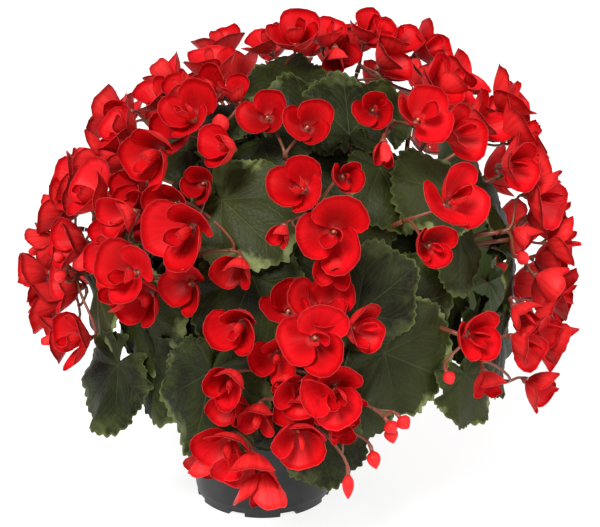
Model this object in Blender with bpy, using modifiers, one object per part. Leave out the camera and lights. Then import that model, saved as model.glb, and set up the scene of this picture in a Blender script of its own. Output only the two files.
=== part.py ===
# Potted begonia: a black nursery pot of peat, eight leafy stems, and sprays of cupped red blooms.
# Metres, +Z up. The origin is the centre of the pot's base, on the surface that the pot stands on.
import bpy
import bmesh
import numpy as np
from mathutils import Matrix

# Pot
POT_HEIGHT = 0.105
POT_BASE_RADIUS = 0.046
POT_TOP_RADIUS = 0.060
POT_WALL = 0.0016
POT_RIM_HEIGHT = 0.009
POT_RIM_PROUD = 0.0022
POT_SIDES = 24
HOLE_SIDES = 6
FOOT_RING_WIDTH = 0.008
FLOOR_HEIGHT = 0.0046
GROOVE_HEIGHT = 0.0030
CENTRE_DISC_RADIUS = 0.0205
NOTCHES = 8
NOTCH_WIDTH = 0.012
DRAIN_HOLES = 6
DRAIN_HOLE_RADIUS = 0.0042
DRAIN_CIRCLE = 0.0295

# Soil
SOIL_DEPTH_BELOW_RIM = 0.010
GAP = 0.0003

# Leafy stems
STEMS = 8
FIRST_STEM_TURN = -158.0
STEM_CIRCLE = 0.024
STEM_RADIUS = 0.0034
STEM_TOP_RADIUS = 0.0022
STEM_HOLE_DEPTH = 0.022
STEM_HOLE_RADIUS = 0.0045
STEM_SIDES = 4
STALK_RADIUS = 0.0014
BRANCH_RADIUS = 0.0016
BRANCH_STRAIGHT = 0.008
STALK_SIDES = 3
STEM_TOP = 0.225
STEM_KNEES = (0.097, 0.115, 0.145, 0.185)
STEM_SPREAD = 0.038
SPREAD_FROM = 0.100
SPREAD_OVER = 0.090
LEAN_OVER = 0.065
STALK_LOW = 0.120
STALK_HIGH = 0.222
STALK_RISE = 0.012
LEAVE_SHARE = 0.35
ARRIVE_SHARE = 0.30

# The plant is a bell: a dome over a straight skirt. Turn is the angle round it from the front, towards the right.
# Climb is the angle up the dome, or down the skirt where it is negative. Depth is how far out of the bell a place is.
PLANT_X = 0.025
SHOULDER_Z = 0.165
BELL_RADIUS = 0.160
DOME_HEIGHT = 0.145

# Leaves lie in four layers under the blooms
LEAF_LAYERS = (-0.020, -0.029, -0.038, -0.047)
LEAF_THICKNESS = 0.0008
LEAF_WAVE = 0.0016
LEAF_WAVES = 5
TOOTH = 0.035
STALK_END_SHARE = 0.20
LARGE_LEAF = 0.050
LARGE_LEAF_CORNERS = 14
SMALL_LEAF_CORNERS = 12
NOTCH_ANGLE = 0.22

# Blooms. A pair of values is that of a closed bloom and what an open one adds to it.
BLOOM_SCALE = 0.90
PETAL_THICKNESS = 0.0008
PETAL_LEAN = (42.0, 44.0)
PETAL_CURL = (58.0, -22.0)
PETAL_HALF_WIDTH = (0.40, 0.20)
PETAL_CUP = 0.34
PETAL_REACH = 0.90
INNER_LENGTH = 0.74
INNER_WIDTH = 0.58
INNER_LEAN = 18.0
HEART_RADIUS = 0.0028
HEART_RING = 0.0014
HEART_STEP = 0.0030
INNER_RADIUS = 0.0024
BUD_SIDES = 4
PEDICEL_RADIUS = 0.0009
LONG_PEDICEL = 0.022
FORK_RADIUS = 0.0021
FORK_LENGTH = 0.0035
FORK_TAPER = 0.8
FORK_ROOT_SHARE = 0.6
HEART_FOOT = 0.0025
FORK_DEPTH = -0.0165
FORK_CLEAR_OF_PETALS = 0.004
FORK_CLEAR_OF_LEAVES = 0.0025
FORK_SHIFTS = (0.0, 0.004, 0.008, 0.012, 0.016, 0.020)
FORK_WAYS = 12
BLOOM_FLOOR = -0.0155
BUD_SHARE = 0.7
CLOSENESS = 0.88
CLOSENESS_IN_SPRAY = 0.84
SETTLE_ROUNDS = 60
SETTLE_SHARE = 0.3

# The corners of a petal's edge from side to side, as shares of its length and half width, and its corners' triangles
OUTER_ALONG = np.array([0.44, 0.90, 0.90, 0.44])
OUTER_ACROSS = np.array([1.0, 1.0, -1.0, -1.0])
OUTER_SPLIT = ((0, 1, 2), (0, 2, 3), (0, 3, 5), (3, 4, 5))
INNER_ALONG = np.array([0.50, 1.0, 0.50])
INNER_ACROSS = np.array([1.0, 0.0, -1.0])
INNER_SPLIT = ((0, 1, 2), (0, 2, 4), (2, 3, 4))

# Leaves of the front, each with its turn, climb, the clock angle of its tip (0 up, 90 right), length in mm,
# layer, and how many mm its tip lifts out of its layer
FRONT_LEAVES = [
    (-57, -24, 215, 78, 0, 26),
    (-47, -3, 160, 64, 1, 0),
    (-34, -8, 170, 76, 2, 6),
    (-23, -18, 190, 78, 0, 10),
    (-18, 33, 125, 72, 0, 0),
    (-15, 10, 200, 76, 1, 0),
    (1, 20, 120, 46, 2, 0),
    (18, 10, 60, 64, 0, 0),
    (28, -11, 120, 74, 1, 0),
    (36, 4, 90, 58, 2, 0),
    (49, -24, 150, 72, 0, 6),
    (59, -9, 170, 58, 3, 0),
    (47, 36, 300, 62, 0, 0),
    (33, 42, 180, 60, 1, 0),
    (-16, 55, 150, 46, 1, 0),
    (12, 54, 120, 60, 2, 0),
    (31, 20, 170, 72, 3, 0),
    (-82, 78, 200, 46, 0, 0),
    (95, 68, 180, 50, 2, 0),
    (51, 17, 200, 50, 1, 0),
    (86, 14, 100, 52, 1, 18),
    (17, -29, 150, 62, 2, 8),
    (5, -33, 165, 58, 0, 0),
    (72, 26, 160, 44, 0, 0),
    (-68, -2, 180, 48, 3, 0),
    (-66, 18, 150, 48, 1, 0),
    (-9, -27, 170, 46, 1, 0),
    (23, 32, 160, 36, 2, 0),
    (-62, 49, 250, 48, 1, 0),
    (-40, 34, 220, 56, 2, 0),
    (-45, 62, 250, 46, 0, 0),
    (-6, 69, 180, 48, 3, 0),
    (68, -20, 170, 56, 2, 0),
    (78, 2, 170, 56, 0, 0),
]

# Leaves of the back: rows of climb, number, first turn, step, length in mm
BACK_LEAF_ROWS = [
    (-22, 4, 106, 48, 74),
    (6, 4, 112, 43, 74),
    (34, 3, 119, 52, 68),
    (54, 2, 152, 66, 62),
]

# Sprays of the front. Each bloom has its turn, climb, depth in mm, the way that it faces (round from the front
# towards the right, and up), its width in mm, how open it is, its spin, and its numbers of outer and inner petals
FRONT_SPRAYS = [
    [(-90, 43, 0, -115, 20, 44, 0.9, 20, 3, 2), (-74, 54, -4, -60, 55, 38, 0.7, 0, 3, 0),
     (-76, 46, 2, -40, -5, 34, 0.6, 60, 3, 0)],
    [(-58, 59, 0, -70, 45, 36, 0.6, 10, 3, 1), (-63, 68, 0, -60, 75, 42, 0.8, 40, 3, 1)],
    [(-37, 52, 5, -20, 40, 46, 0.8, 15, 3, 2), (-27, 61, -2, -10, 65, 30, 0.4, 0, 3, 0),
     (-21, 45, 5, -35, 20, 38, 0.5, 30, 3, 1), (-27, 50, 4, -10, 60, 20, 0.55, 0, 0, 0)],
    [(-70, 37, 0, -95, 15, 40, 0.8, 0, 3, 1), (-40, 40, 5, -35, 0, 48, 0.8, 0, 3, 2),
     (-56, 28, 5, -60, 30, 46, 0.9, 50, 3, 2)],
    [(-84, 17, 0, -105, 20, 42, 0.9, 0, 3, 1), (-84, 6, 4, -95, -25, 38, 0.8, 30, 3, 1)],
    [(-39, 25, 12, -48, -5, 38, 0.6, 60, 3, 1), (-44, 31, -8, -30, 10, 40, 0.7, 20, 3, 0)],
    [(-25, 26, 6, -25, 5, 54, 0.8, 25, 3, 2), (-30, 39, -8, -20, 10, 36, 0.7, 0, 3, 0),
     (-14, 20, -8, -10, -30, 34, 0.6, 0, 3, 0)],
    [(-37, 16, 8, -30, 15, 44, 0.8, 40, 3, 2), (-42, 8, 0, -35, 40, 30, 0.6, 0, 3, 0),
     (-48, 14, -4, -50, 10, 36, 0.8, 20, 3, 0), (-26, 14, -10, -25, 0, 38, 0.8, 0, 3, 0)],
    [(-81, -5, 0, -85, 0, 54, 0.8, 0, 3, 2), (-54, -6, 4, -50, 10, 44, 0.8, 30, 3, 2),
     (-62, 6, 4, -50, 40, 13, 0.6, 0, 0, 0), (-67, 9, 2, -70, 50, 11, 0.6, 0, 0, 0)],
    [(1, 36, 10, -20, 30, 44, 0.8, 0, 3, 2), (10, 38, 13, 20, 20, 34, 0.5, 20, 3, 1),
     (7, 27, 10, -10, 10, 48, 0.8, 10, 3, 2), (-4, 28, 0, -20, -20, 26, 0.4, 0, 3, 0)],
    [(-94, 83, 0, -60, 60, 36, 0.7, 20, 3, 1), (7, 86, 5, 0, 60, 46, 0.9, 0, 3, 2)],
    [(100, 83, 0, 20, 70, 38, 0.8, 40, 3, 1), (80, 82, -10, 0, -45, 30, 0.4, 0, 3, 0)],
    [(113, 74, 2, 30, 60, 42, 0.8, 0, 3, 1), (109, 66, -2, 60, 50, 34, 0.7, 30, 3, 0)],
    [(105, 60, 2, 60, 30, 44, 0.8, 0, 3, 2), (95, 54, 0, 90, 40, 40, 0.8, 20, 3, 1)],
    [(92, 45, 0, 80, 50, 40, 0.8, 0, 3, 1), (86, 36, 4, 75, 30, 48, 0.9, 30, 3, 2)],
    [(84, 26, 4, 95, 20, 46, 0.9, 0, 3, 2), (65, 33, 8, 40, 10, 40, 0.7, 20, 3, 1),
     (92, 22, 6, 100, 20, 15, 0.5, 0, 0, 0)],
    [(73, 22, 6, 70, 0, 50, 0.8, 0, 3, 2), (67, 17, -6, 50, -30, 32, 0.6, 30, 3, 0),
     (57, 13, 2, 30, 10, 14, 0.6, 0, 0, 0)],
    [(76, 10, 6, 85, 10, 44, 0.9, 0, 3, 2), (74, 3, 2, 70, -30, 42, 0.8, 30, 3, 1)],
    [(56, 0, 0, 30, -25, 36, 0.6, 0, 3, 1), (80, -4, 4, 85, -5, 46, 0.9, 0, 3, 2),
     (76, -14, 4, 75, -30, 46, 0.9, 40, 3, 1)],
    [(36, 1, 8, 30, 10, 42, 0.7, 15, 3, 2), (32, -8, 2, 20, -30, 13, 0.6, 0, 0, 0)],
    [(65, -23, 2, 60, -20, 42, 0.8, 0, 3, 1), (44, -13, 0, 20, -40, 32, 0.5, 0, 3, 0)],
    [(31, 56, 2, 0, 20, 38, 0.7, 0, 3, 1), (38, 50, 10, 20, 40, 42, 0.8, 20, 3, 1),
     (50, 45, 6, 40, 20, 42, 0.8, 0, 3, 1), (27, 47, -2, 0, -45, 28, 0.4, 0, 3, 0)],
    [(35, 30, 14, 35, 35, 48, 0.9, 0, 3, 2), (27, 22, 14, 15, 10, 42, 0.7, 25, 3, 1)],
    [(-13, 59, -6, -10, 30, 38, 0.8, 0, 3, 0), (0, 56, -6, 10, 30, 36, 0.8, 20, 3, 0)],
    [(-12, 5, 5, -15, 5, 46, 0.7, 0, 3, 2), (-12, -5, 6, -18, -5, 44, 0.7, 30, 3, 2)],
    [(-2, 9, -6, 0, 40, 42, 0.9, 0, 3, 0), (3, 4, 10, 5, 15, 48, 0.8, 10, 3, 2),
     (11, 6, 2, 45, 10, 38, 0.7, 0, 3, 1)],
    [(6, -5, 10, 5, 0, 46, 0.8, 20, 3, 2), (-3, -6, 2, -20, -20, 28, 0.5, 0, 3, 0)],
    [(-8, -12, 2, -20, -30, 36, 0.7, 0, 3, 1), (-1, -17, 4, 0, -20, 42, 0.8, 30, 3, 1),
     (7, -18, -2, 15, -30, 30, 0.5, 0, 3, 0), (15, -25, 2, 20, -50, 16, 0.55, 0, 0, 0),
     (10, -31, 2, 0, -80, 22, 0.35, 0, 0, 0)],
    [(-20, -31, -6, -40, -55, 38, 0.7, 0, 3, 0), (-8, -33, 0, 0, -70, 46, 0.8, 30, 3, 2)],
]

# Sprays of the back: rows of climb, number of sprays, first turn, step, width in mm
BACK_SPRAY_ROWS = [
    (-8, 3, 120, 56, 46),
    (22, 3, 132, 54, 48),
    (50, 2, 150, 70, 46),
]

SEED = 7

# Corners of a joined body that are nearer than this become one, or nearer than the next where that leaves a hole
WELDS = (1.2e-4, 4e-5, 2e-6, 1e-7)
LOST_VOLUME = 1e-9


def unit(vector):
    vector = np.asarray(vector, float)
    return vector / np.linalg.norm(vector)


def bell_frame(turn, climb, depth):
    """A place on the bell, with its outward, upward and rightward directions there."""
    turn, climb = np.radians(turn), np.radians(climb)
    away = np.array([np.sin(turn), -np.cos(turn), 0.0])
    right = np.array([np.cos(turn), np.sin(turn), 0.0])
    on_dome = max(climb, 0.0)
    radius = (BELL_RADIUS + depth) * np.cos(on_dome)
    height = SHOULDER_Z + (DOME_HEIGHT + depth) * np.sin(climb)
    place = np.array([PLANT_X, 0.0, height]) + radius * away
    slope = unit([np.cos(on_dome) / (BELL_RADIUS + depth), np.sin(on_dome) / (DOME_HEIGHT + depth)])
    outward = slope[0] * away + np.array([0.0, 0.0, slope[1]])
    upward = -slope[1] * away + np.array([0.0, 0.0, slope[0]])
    return place, outward, upward, right


def bell_scale(points, depth):
    """How much each point is moved out from the bell's axis to reach the bell at this depth."""
    across = np.hypot(points[..., 0] - PLANT_X, points[..., 1])
    above = np.maximum(points[..., 2] - SHOULDER_Z, 0.0)
    return 1.0 / np.hypot(across / (BELL_RADIUS + depth), above / (DOME_HEIGHT + depth))


def onto_bell(points, depth):
    """The points moved straight out or in, until they lie on the bell at this depth."""
    scale = bell_scale(points, depth)
    moved = np.array(points)
    moved[..., 0] = PLANT_X + (points[..., 0] - PLANT_X) * scale
    moved[..., 1] = points[..., 1] * scale
    above = points[..., 2] - SHOULDER_Z
    moved[..., 2] = SHOULDER_Z + above * np.where(above > 0, scale, 1.0)
    return moved


def depth_of(points):
    """How far out of the bell each point lies."""
    return (1.0 / bell_scale(points, 0.0) - 1.0) * BELL_RADIUS


def bezier(start, leave, arrive, end, count):
    """Points along a cubic curve that leaves the start along one vector and arrives at the end along another."""
    t = np.linspace(0.0, 1.0, count)[:, None]
    first = start + leave
    second = end - arrive
    return (1 - t) ** 3 * start + 3 * (1 - t) ** 2 * t * first + 3 * (1 - t) * t ** 2 * second + t ** 3 * end


def clock_direction(clock, upward, right):
    clock = np.radians(clock)
    return np.cos(clock) * upward + np.sin(clock) * right


def back_leaves():
    """Leaves of the back, evenly round in rows, each with a small seeded shift."""
    chance = np.random.default_rng(SEED)
    leaves = []
    for row, (climb, number, first, step, length) in enumerate(BACK_LEAF_ROWS):
        for index in range(number):
            turn = first + index * step + chance.uniform(-4, 4)
            clock = 180 + chance.uniform(-35, 35)
            layer = row % 2 + 2 * (index % 2)
            leaves.append((turn, climb + chance.uniform(-3, 3), clock, length, layer, 0))
    return leaves


def back_sprays():
    """Threes of blooms of the back, evenly round in rows, each with a small seeded shift."""
    chance = np.random.default_rng(SEED + 1)
    sprays = []
    for climb, number, first, step, width in BACK_SPRAY_ROWS:
        for index in range(number):
            turn = first + index * step + chance.uniform(-4, 4)
            lower = climb - 7 + chance.uniform(-2, 2)
            upper = climb + 9 + chance.uniform(-2, 2)
            apart = 10 / np.cos(np.radians(max(climb, 0)))
            sprays.append([
                (turn, upper, 5, turn, upper + 15, width, 0.8, 0, 3, 1),
                (turn - apart, lower, 2, turn - apart - 10, lower, width, 0.8, 30, 3, 1),
                (turn + apart, lower + 5, 3, turn + apart + 10, lower, width - 6, 0.7, 60, 3, 0),
            ])
    return sprays


def leaf_reach(angle, length):
    """From the stalk's end to the edge: longest at the tip, with a notch at the back and one side larger."""
    body = 0.50 + 0.20 * np.cos(angle) + 0.04 * np.cos(2 * angle)
    notch = 1.0 - 0.85 * np.exp(-((np.pi - np.abs(angle)) / NOTCH_ANGLE) ** 2)
    return length * body * notch * (1.0 + 0.08 * np.sin(angle))


def leaf_point(leaf, angle, share):
    """A point of the leaf, at an angle from its tip's direction and a share of the way to its edge."""
    turn, climb, clock, length, layer, lift = leaf
    length, lift, depth = length / 1000, lift / 1000, LEAF_LAYERS[layer]
    place, outward, upward, right = bell_frame(turn, climb, depth)
    tip = clock_direction(clock, upward, right)
    side = np.cross(outward, tip)
    reach = leaf_reach(angle, length) * share
    ahead = reach * np.cos(angle)
    aside = reach * np.sin(angle)
    flat = place + np.multiply.outer(ahead - STALK_END_SHARE * length, tip) + np.multiply.outer(aside, side)
    rise = LEAF_WAVE * np.sin(LEAF_WAVES * angle + turn) * share ** 2
    rise = rise + lift * np.maximum(ahead, 0.0) / length
    return onto_bell(flat, depth) + np.multiply.outer(rise, outward)


def bloom_axis(face_turn, face_climb):
    """The way that a bloom faces, and its own upward and rightward directions."""
    face_turn, face_climb = np.radians(face_turn), np.radians(face_climb)
    level = np.cos(face_climb)
    axis = np.array([np.sin(face_turn) * level, -np.cos(face_turn) * level, np.sin(face_climb)])
    upward = unit(np.array([0.0, 0.0, 1.0]) - axis[2] * axis)
    return axis, upward, np.cross(upward, axis)


def petal_width(along):
    """Share of the petal's full width at a share of its length: broad and round."""
    return np.sin(np.pi * np.clip(along, 0.0, 1.0) ** 0.8) ** 0.55


def petal_curve(along, lean, curl):
    """How far out and how far forward the petal's midline has gone, in petal lengths."""
    now = lean - curl * along
    return (np.cos(now) - np.cos(lean)) / curl, (np.sin(lean) - np.sin(now)) / curl, now


def petal_points(bloom, inner, angle, along, across):
    """Points of one petal's middle surface, and the way that its inner face looks half way along."""
    axis, upward, right = bloom["axes"]
    outward = np.cos(angle) * upward + np.sin(angle) * right
    side = np.cross(axis, outward)
    width, opened = bloom["width"], bloom["open"]
    length = (width / 2 - HEART_RADIUS / 2) / PETAL_REACH
    lean = np.radians(PETAL_LEAN[0] + PETAL_LEAN[1] * opened)
    curl = np.radians(PETAL_CURL[0] + PETAL_CURL[1] * opened)
    half = length * (PETAL_HALF_WIDTH[0] + PETAL_HALF_WIDTH[1] * opened)
    foot = bloom["heart"] + HEART_RADIUS / 2 * outward + HEART_RING / 2 * axis
    if inner:
        length *= INNER_LENGTH
        half *= INNER_WIDTH
        lean -= np.radians(INNER_LEAN)
        foot = foot + (HEART_RING + HEART_STEP) * axis
    out, forward, now = petal_curve(np.asarray(along, float), lean, curl)
    spread = half * petal_width(np.asarray(along, float))
    look = np.multiply.outer(-np.cos(now), outward) + np.multiply.outer(np.sin(now), axis)
    across = np.asarray(across, float)
    middle = foot + length * (np.multiply.outer(out, outward) + np.multiply.outer(forward, axis))
    points = middle + np.multiply.outer(across * spread, side) + (PETAL_CUP * across ** 2 * spread)[..., None] * look
    mid = lean - curl / 2
    return points, -np.cos(mid) * outward + np.sin(mid) * axis


def read_bloom(row):
    turn, climb, depth, face_turn, face_climb, width, opened, spin, outer, inner = row
    place, outward, upward, right = bell_frame(turn, climb, depth / 1000)
    return {
        "heart": place, "outward": outward, "axes": bloom_axis(face_turn, face_climb), "width": width / 1000 * BLOOM_SCALE,
        "open": opened, "spin": np.radians(spin), "outer": outer, "inner": inner,
    }


def petal_angles(bloom):
    """Directions of the outer petals, and of the inner ones, which stand between them."""
    third = 2 * np.pi / 3
    outer = [bloom["spin"] + third * index for index in range(bloom["outer"])]
    inner = [bloom["spin"] + third * (index + 0.5) for index in range(bloom["inner"])]
    return outer, inner


def reach_points(bloom):
    """The corners of all the petals of a bloom, or the foot and the tip of a bud."""
    outer, inner = petal_angles(bloom)
    corners = [petal_points(bloom, False, angle, OUTER_ALONG, OUTER_ACROSS)[0] for angle in outer]
    corners += [petal_points(bloom, True, angle, INNER_ALONG, INNER_ACROSS)[0] for angle in inner]
    if not corners:
        return np.array([bloom["heart"], bloom["heart"] + bloom["width"] * bloom["axes"][0]])
    return np.vstack(corners)


def settle_blooms(sprays):
    """Moves blooms of different sprays apart until they clear each other, and out until they clear the leaves."""
    blooms = [bloom for spray in sprays for bloom in spray]
    owner = np.array([number for number, spray in enumerate(sprays) for bloom in spray])
    allowed = np.where(owner[:, None] == owner[None], CLOSENESS_IN_SPRAY, CLOSENESS)
    for _ in range(SETTLE_ROUNDS):
        for bloom in blooms:
            low = depth_of(reach_points(bloom)).min()
            bloom["heart"] = bloom["heart"] + max(BLOOM_FLOOR - low, 0.0) * bloom["outward"]
        centres = np.array([reach_points(bloom).mean(axis=0) for bloom in blooms])
        radii = np.array([bloom["width"] / 2 * (1.0 if bloom["outer"] else BUD_SHARE) for bloom in blooms])
        apart = centres[:, None] - centres[None]
        distance = np.linalg.norm(apart, axis=2) + np.eye(len(blooms))
        short = np.maximum((radii[:, None] + radii[None]) * allowed - distance, 0.0) * (1 - np.eye(len(blooms)))
        push = (apart / distance[..., None] * short[..., None]).sum(axis=1) * SETTLE_SHARE
        for bloom, shift in zip(blooms, push):
            bloom["heart"] = bloom["heart"] + shift
    for bloom in blooms:
        low = depth_of(reach_points(bloom)).min()
        bloom["heart"] = bloom["heart"] + max(BLOOM_FLOOR - low, 0.0) * bloom["outward"]


def room_at(place, spray, leaves):
    """How far a fork would be clear of the spray's petals and beside the leaves, less what each needs."""
    petals = np.vstack([reach_points(bloom) for bloom in spray if bloom["outer"]] + [spray[0]["heart"][None]])
    room = np.linalg.norm(petals - place, axis=1).min() - FORK_CLEAR_OF_PETALS
    for leaf in leaves:
        turn, climb, clock, length, layer, lift = leaf
        middle, outward, upward, right = bell_frame(turn, climb, LEAF_LAYERS[layer])
        if (place - middle) @ outward < -0.01:
            continue
        tip = clock_direction(clock, upward, right)
        from_stalk = place - middle + STALK_END_SHARE * length / 1000 * tip
        ahead, aside = from_stalk @ tip, from_stalk @ np.cross(outward, tip)
        edge = leaf_reach(np.arctan2(aside, ahead), length / 1000)
        room = min(room, np.hypot(ahead, aside) - edge - FORK_CLEAR_OF_LEAVES)
    return room


def fork_place(spray, leaves):
    """Where a spray's branch ends: under the middle of its hearts, or in the nearest gap between the leaves."""
    middle = onto_bell(np.mean([bloom["heart"] for bloom in spray], axis=0), FORK_DEPTH)
    best = None
    for shift in FORK_SHIFTS:
        for way in range(FORK_WAYS if shift else 1):
            angle = 2 * np.pi * way / FORK_WAYS
            away = unit(middle - np.array([PLANT_X, 0.0, min(middle[2], SHOULDER_Z)]))
            right = unit(np.cross([0.0, 0.0, 1.0], away))
            step = shift * (np.cos(angle) * right + np.sin(angle) * np.cross(away, right))
            place = onto_bell(middle + step, FORK_DEPTH)
            room = min(room_at(place, spray, leaves), 0.0)
            if best is None or room > best[0]:
                best = (room, place)
    place = best[1]
    return place, unit(place - np.array([PLANT_X, 0.0, min(place[2], SHOULDER_Z)]))


def stem_turn(index):
    return FIRST_STEM_TURN + index * 360.0 / STEMS


def stem_curve(index, height):
    """The curve of a main stem: it leans out as it rises, and the whole plant leans to the right."""
    turn = np.radians(stem_turn(index))
    rise = np.clip((height - SPREAD_FROM) / SPREAD_OVER, 0.0, 1.0)
    radius = STEM_CIRCLE + STEM_SPREAD * np.sin(rise * np.pi / 2)
    lean = PLANT_X * np.clip((height - SPREAD_FROM) / LEAN_OVER, 0.0, 1.0)
    return np.stack([lean + radius * np.sin(turn), -radius * np.cos(turn), height], axis=-1)


def stem_place(index, height):
    """A point of a main stem, which runs straight from knee to knee of its curve."""
    knees = stem_curve(index, np.array([0.0, *STEM_KNEES, STEM_TOP]))
    height = np.asarray(height, float)
    return np.stack([np.interp(height, knees[:, 2], knees[:, axis]) for axis in range(3)], axis=-1)


def stem_near(place):
    """The main stem whose turn is nearest to a place."""
    turn = np.degrees(np.arctan2(place[0] - PLANT_X, -place[1]))
    turns = np.array([stem_turn(index) for index in range(STEMS)])
    return int(np.argmin(np.abs((turns - turn + 180) % 360 - 180)))


def stalk_path(index, height, end, arrive, count):
    """From a height on a main stem up and out to the end of a stalk or branch, which arrives along a direction."""
    start = stem_place(index, height)
    gap = np.linalg.norm(end - start)
    level = unit([end[0] - start[0], end[1] - start[1], 0.0])
    leave = LEAVE_SHARE * gap * level + np.array([0.0, 0.0, STALK_RISE])
    return bezier(start, leave, ARRIVE_SHARE * gap * unit(arrive), end, count)


def link(obj, collection):
    collection.objects.link(obj)
    return obj


def mesh_object(name, vertices, faces, collection):
    """A closed body of these corners and faces, with its faces turned outwards."""
    mesh = bpy.data.meshes.new(name)
    mesh.from_pydata([tuple(vertex) for vertex in vertices], [], faces)
    work = bmesh.new()
    work.from_mesh(mesh)
    bmesh.ops.recalc_face_normals(work, faces=work.faces)
    work.to_mesh(mesh)
    work.free()
    return link(bpy.data.objects.new(name, mesh), collection)


def frames_along(path, across):
    """Two directions for each point of a path, mitred at its bends and turned as little as can be from the end's."""
    steps = np.diff(path, axis=0)
    steps = steps / np.linalg.norm(steps, axis=1)[:, None]
    frames = []
    for ahead in np.vstack([steps[:1], steps[:-1] + steps[1:], steps[-1:]])[::-1]:
        ahead = unit(ahead)
        across = unit(across - (across @ ahead) * ahead)
        frames.append((across, np.cross(ahead, across)))
    return frames[::-1]


def ring(place, radius, first, second, angles):
    """Corners round a place, at angles from the first direction towards the second."""
    return place + radius * (np.multiply.outer(np.cos(angles), first) + np.multiply.outer(np.sin(angles), second))


def tube_rings(path, radii, sides, across):
    """The corners of a tube along a path, ring after ring."""
    angles = 2 * np.pi * np.arange(sides) / sides
    frames = frames_along(path, across)
    return np.vstack([ring(place, radius, *frame, angles) for place, radius, frame in zip(path, radii, frames)])


def tube_faces(rings, sides):
    """The sides of a tube, two triangles for each."""
    faces = []
    for start in range(0, (rings - 1) * sides, sides):
        for corner in range(sides):
            here, beside = start + corner, start + (corner + 1) % sides
            faces.append((here, beside, beside + sides))
            faces.append((here, beside + sides, here + sides))
    return faces


def tube_object(name, path, radii, sides, collection):
    """A closed tube along a path."""
    corners = tube_rings(path, radii, sides, np.array([0.6, 0.8, 0.0]))
    faces = tube_faces(len(path), sides)
    faces.append(tuple(range(sides)))
    faces.append(tuple(range(len(corners) - sides, len(corners))))
    return mesh_object(name, corners, faces, collection)


def leaf_object(name, leaf, path, collection):
    """A leaf and its stalk as one body: the stalk opens into the under face of a toothed fan, a thickness below."""
    number = LARGE_LEAF_CORNERS if leaf[3] / 1000 >= LARGE_LEAF else SMALL_LEAF_CORNERS
    angles = np.append(np.linspace(NOTCH_ANGLE - np.pi, np.pi - NOTCH_ANGLE, number - 1), np.pi)
    place, outward, upward, right = bell_frame(leaf[0], leaf[1], LEAF_LAYERS[leaf[4]])
    tip = clock_direction(leaf[2], upward, right)
    half = LEAF_THICKNESS / 2 * outward
    heart = leaf_point(leaf, np.zeros(1), np.zeros(1))
    edge = leaf_point(leaf, angles, 1.0 + TOOTH * (-1.0) ** np.arange(number))
    corners = tube_rings(path, [STALK_RADIUS] * len(path), STALK_SIDES, tip)
    top = len(corners) - STALK_SIDES
    thirds = 2 * np.pi * np.arange(STALK_SIDES) / STALK_SIDES
    corners[top:] = ring(heart[0] - half, STALK_RADIUS, tip, np.cross(outward, tip), thirds)
    under = len(corners)
    over = under + number
    middle = over + number
    faces = tube_faces(len(path), STALK_SIDES) + [tuple(range(STALK_SIDES))]
    gaps = np.roll(angles, -1) - angles
    halfway = angles + np.where(gaps < 0, gaps + 2 * np.pi, gaps) / 2
    nearest = np.round(halfway / (2 * np.pi / STALK_SIDES)).astype(int) % STALK_SIDES + top
    for corner in range(number):
        beside = (corner + 1) % number
        faces.append((middle, over + corner, over + beside))
        faces.append((under + corner, under + beside, over + beside))
        faces.append((under + corner, over + beside, over + corner))
        faces.append((int(nearest[corner]), under + corner, under + beside))
        if nearest[corner] != nearest[corner - 1]:
            faces.append((int(nearest[corner - 1]), int(nearest[corner]), under + corner))
    return mesh_object(name, np.vstack([corners, edge - half, edge + half, heart + half]), faces, collection)


def grow_petal(vertices, faces, bloom, inner, angle, root):
    """Adds one petal, which grows from one side of the heart: two like faces a thickness apart, and a rim."""
    along, across, split = (
        (INNER_ALONG, INNER_ACROSS, INNER_SPLIT) if inner else (OUTER_ALONG, OUTER_ACROSS, OUTER_SPLIT))
    points, look = petal_points(bloom, inner, angle, along, across)
    low_a, low_b, up_a, up_b = root
    first = len(vertices)
    for point in points:
        vertices.append(point - look * PETAL_THICKNESS / 2)
        vertices.append(point + look * PETAL_THICKNESS / 2)
    under = [low_a] + [first + 2 * corner for corner in range(len(points))] + [low_b]
    over = [up_a] + [first + 1 + 2 * corner for corner in range(len(points))] + [up_b]
    for loop in (under, over):
        for triangle in split:
            faces.append(tuple(loop[corner] for corner in triangle))
    for corner in range(len(under) - 1):
        faces.append((under[corner], under[corner + 1], over[corner + 1]))
        faces.append((under[corner], over[corner + 1], over[corner]))


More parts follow.
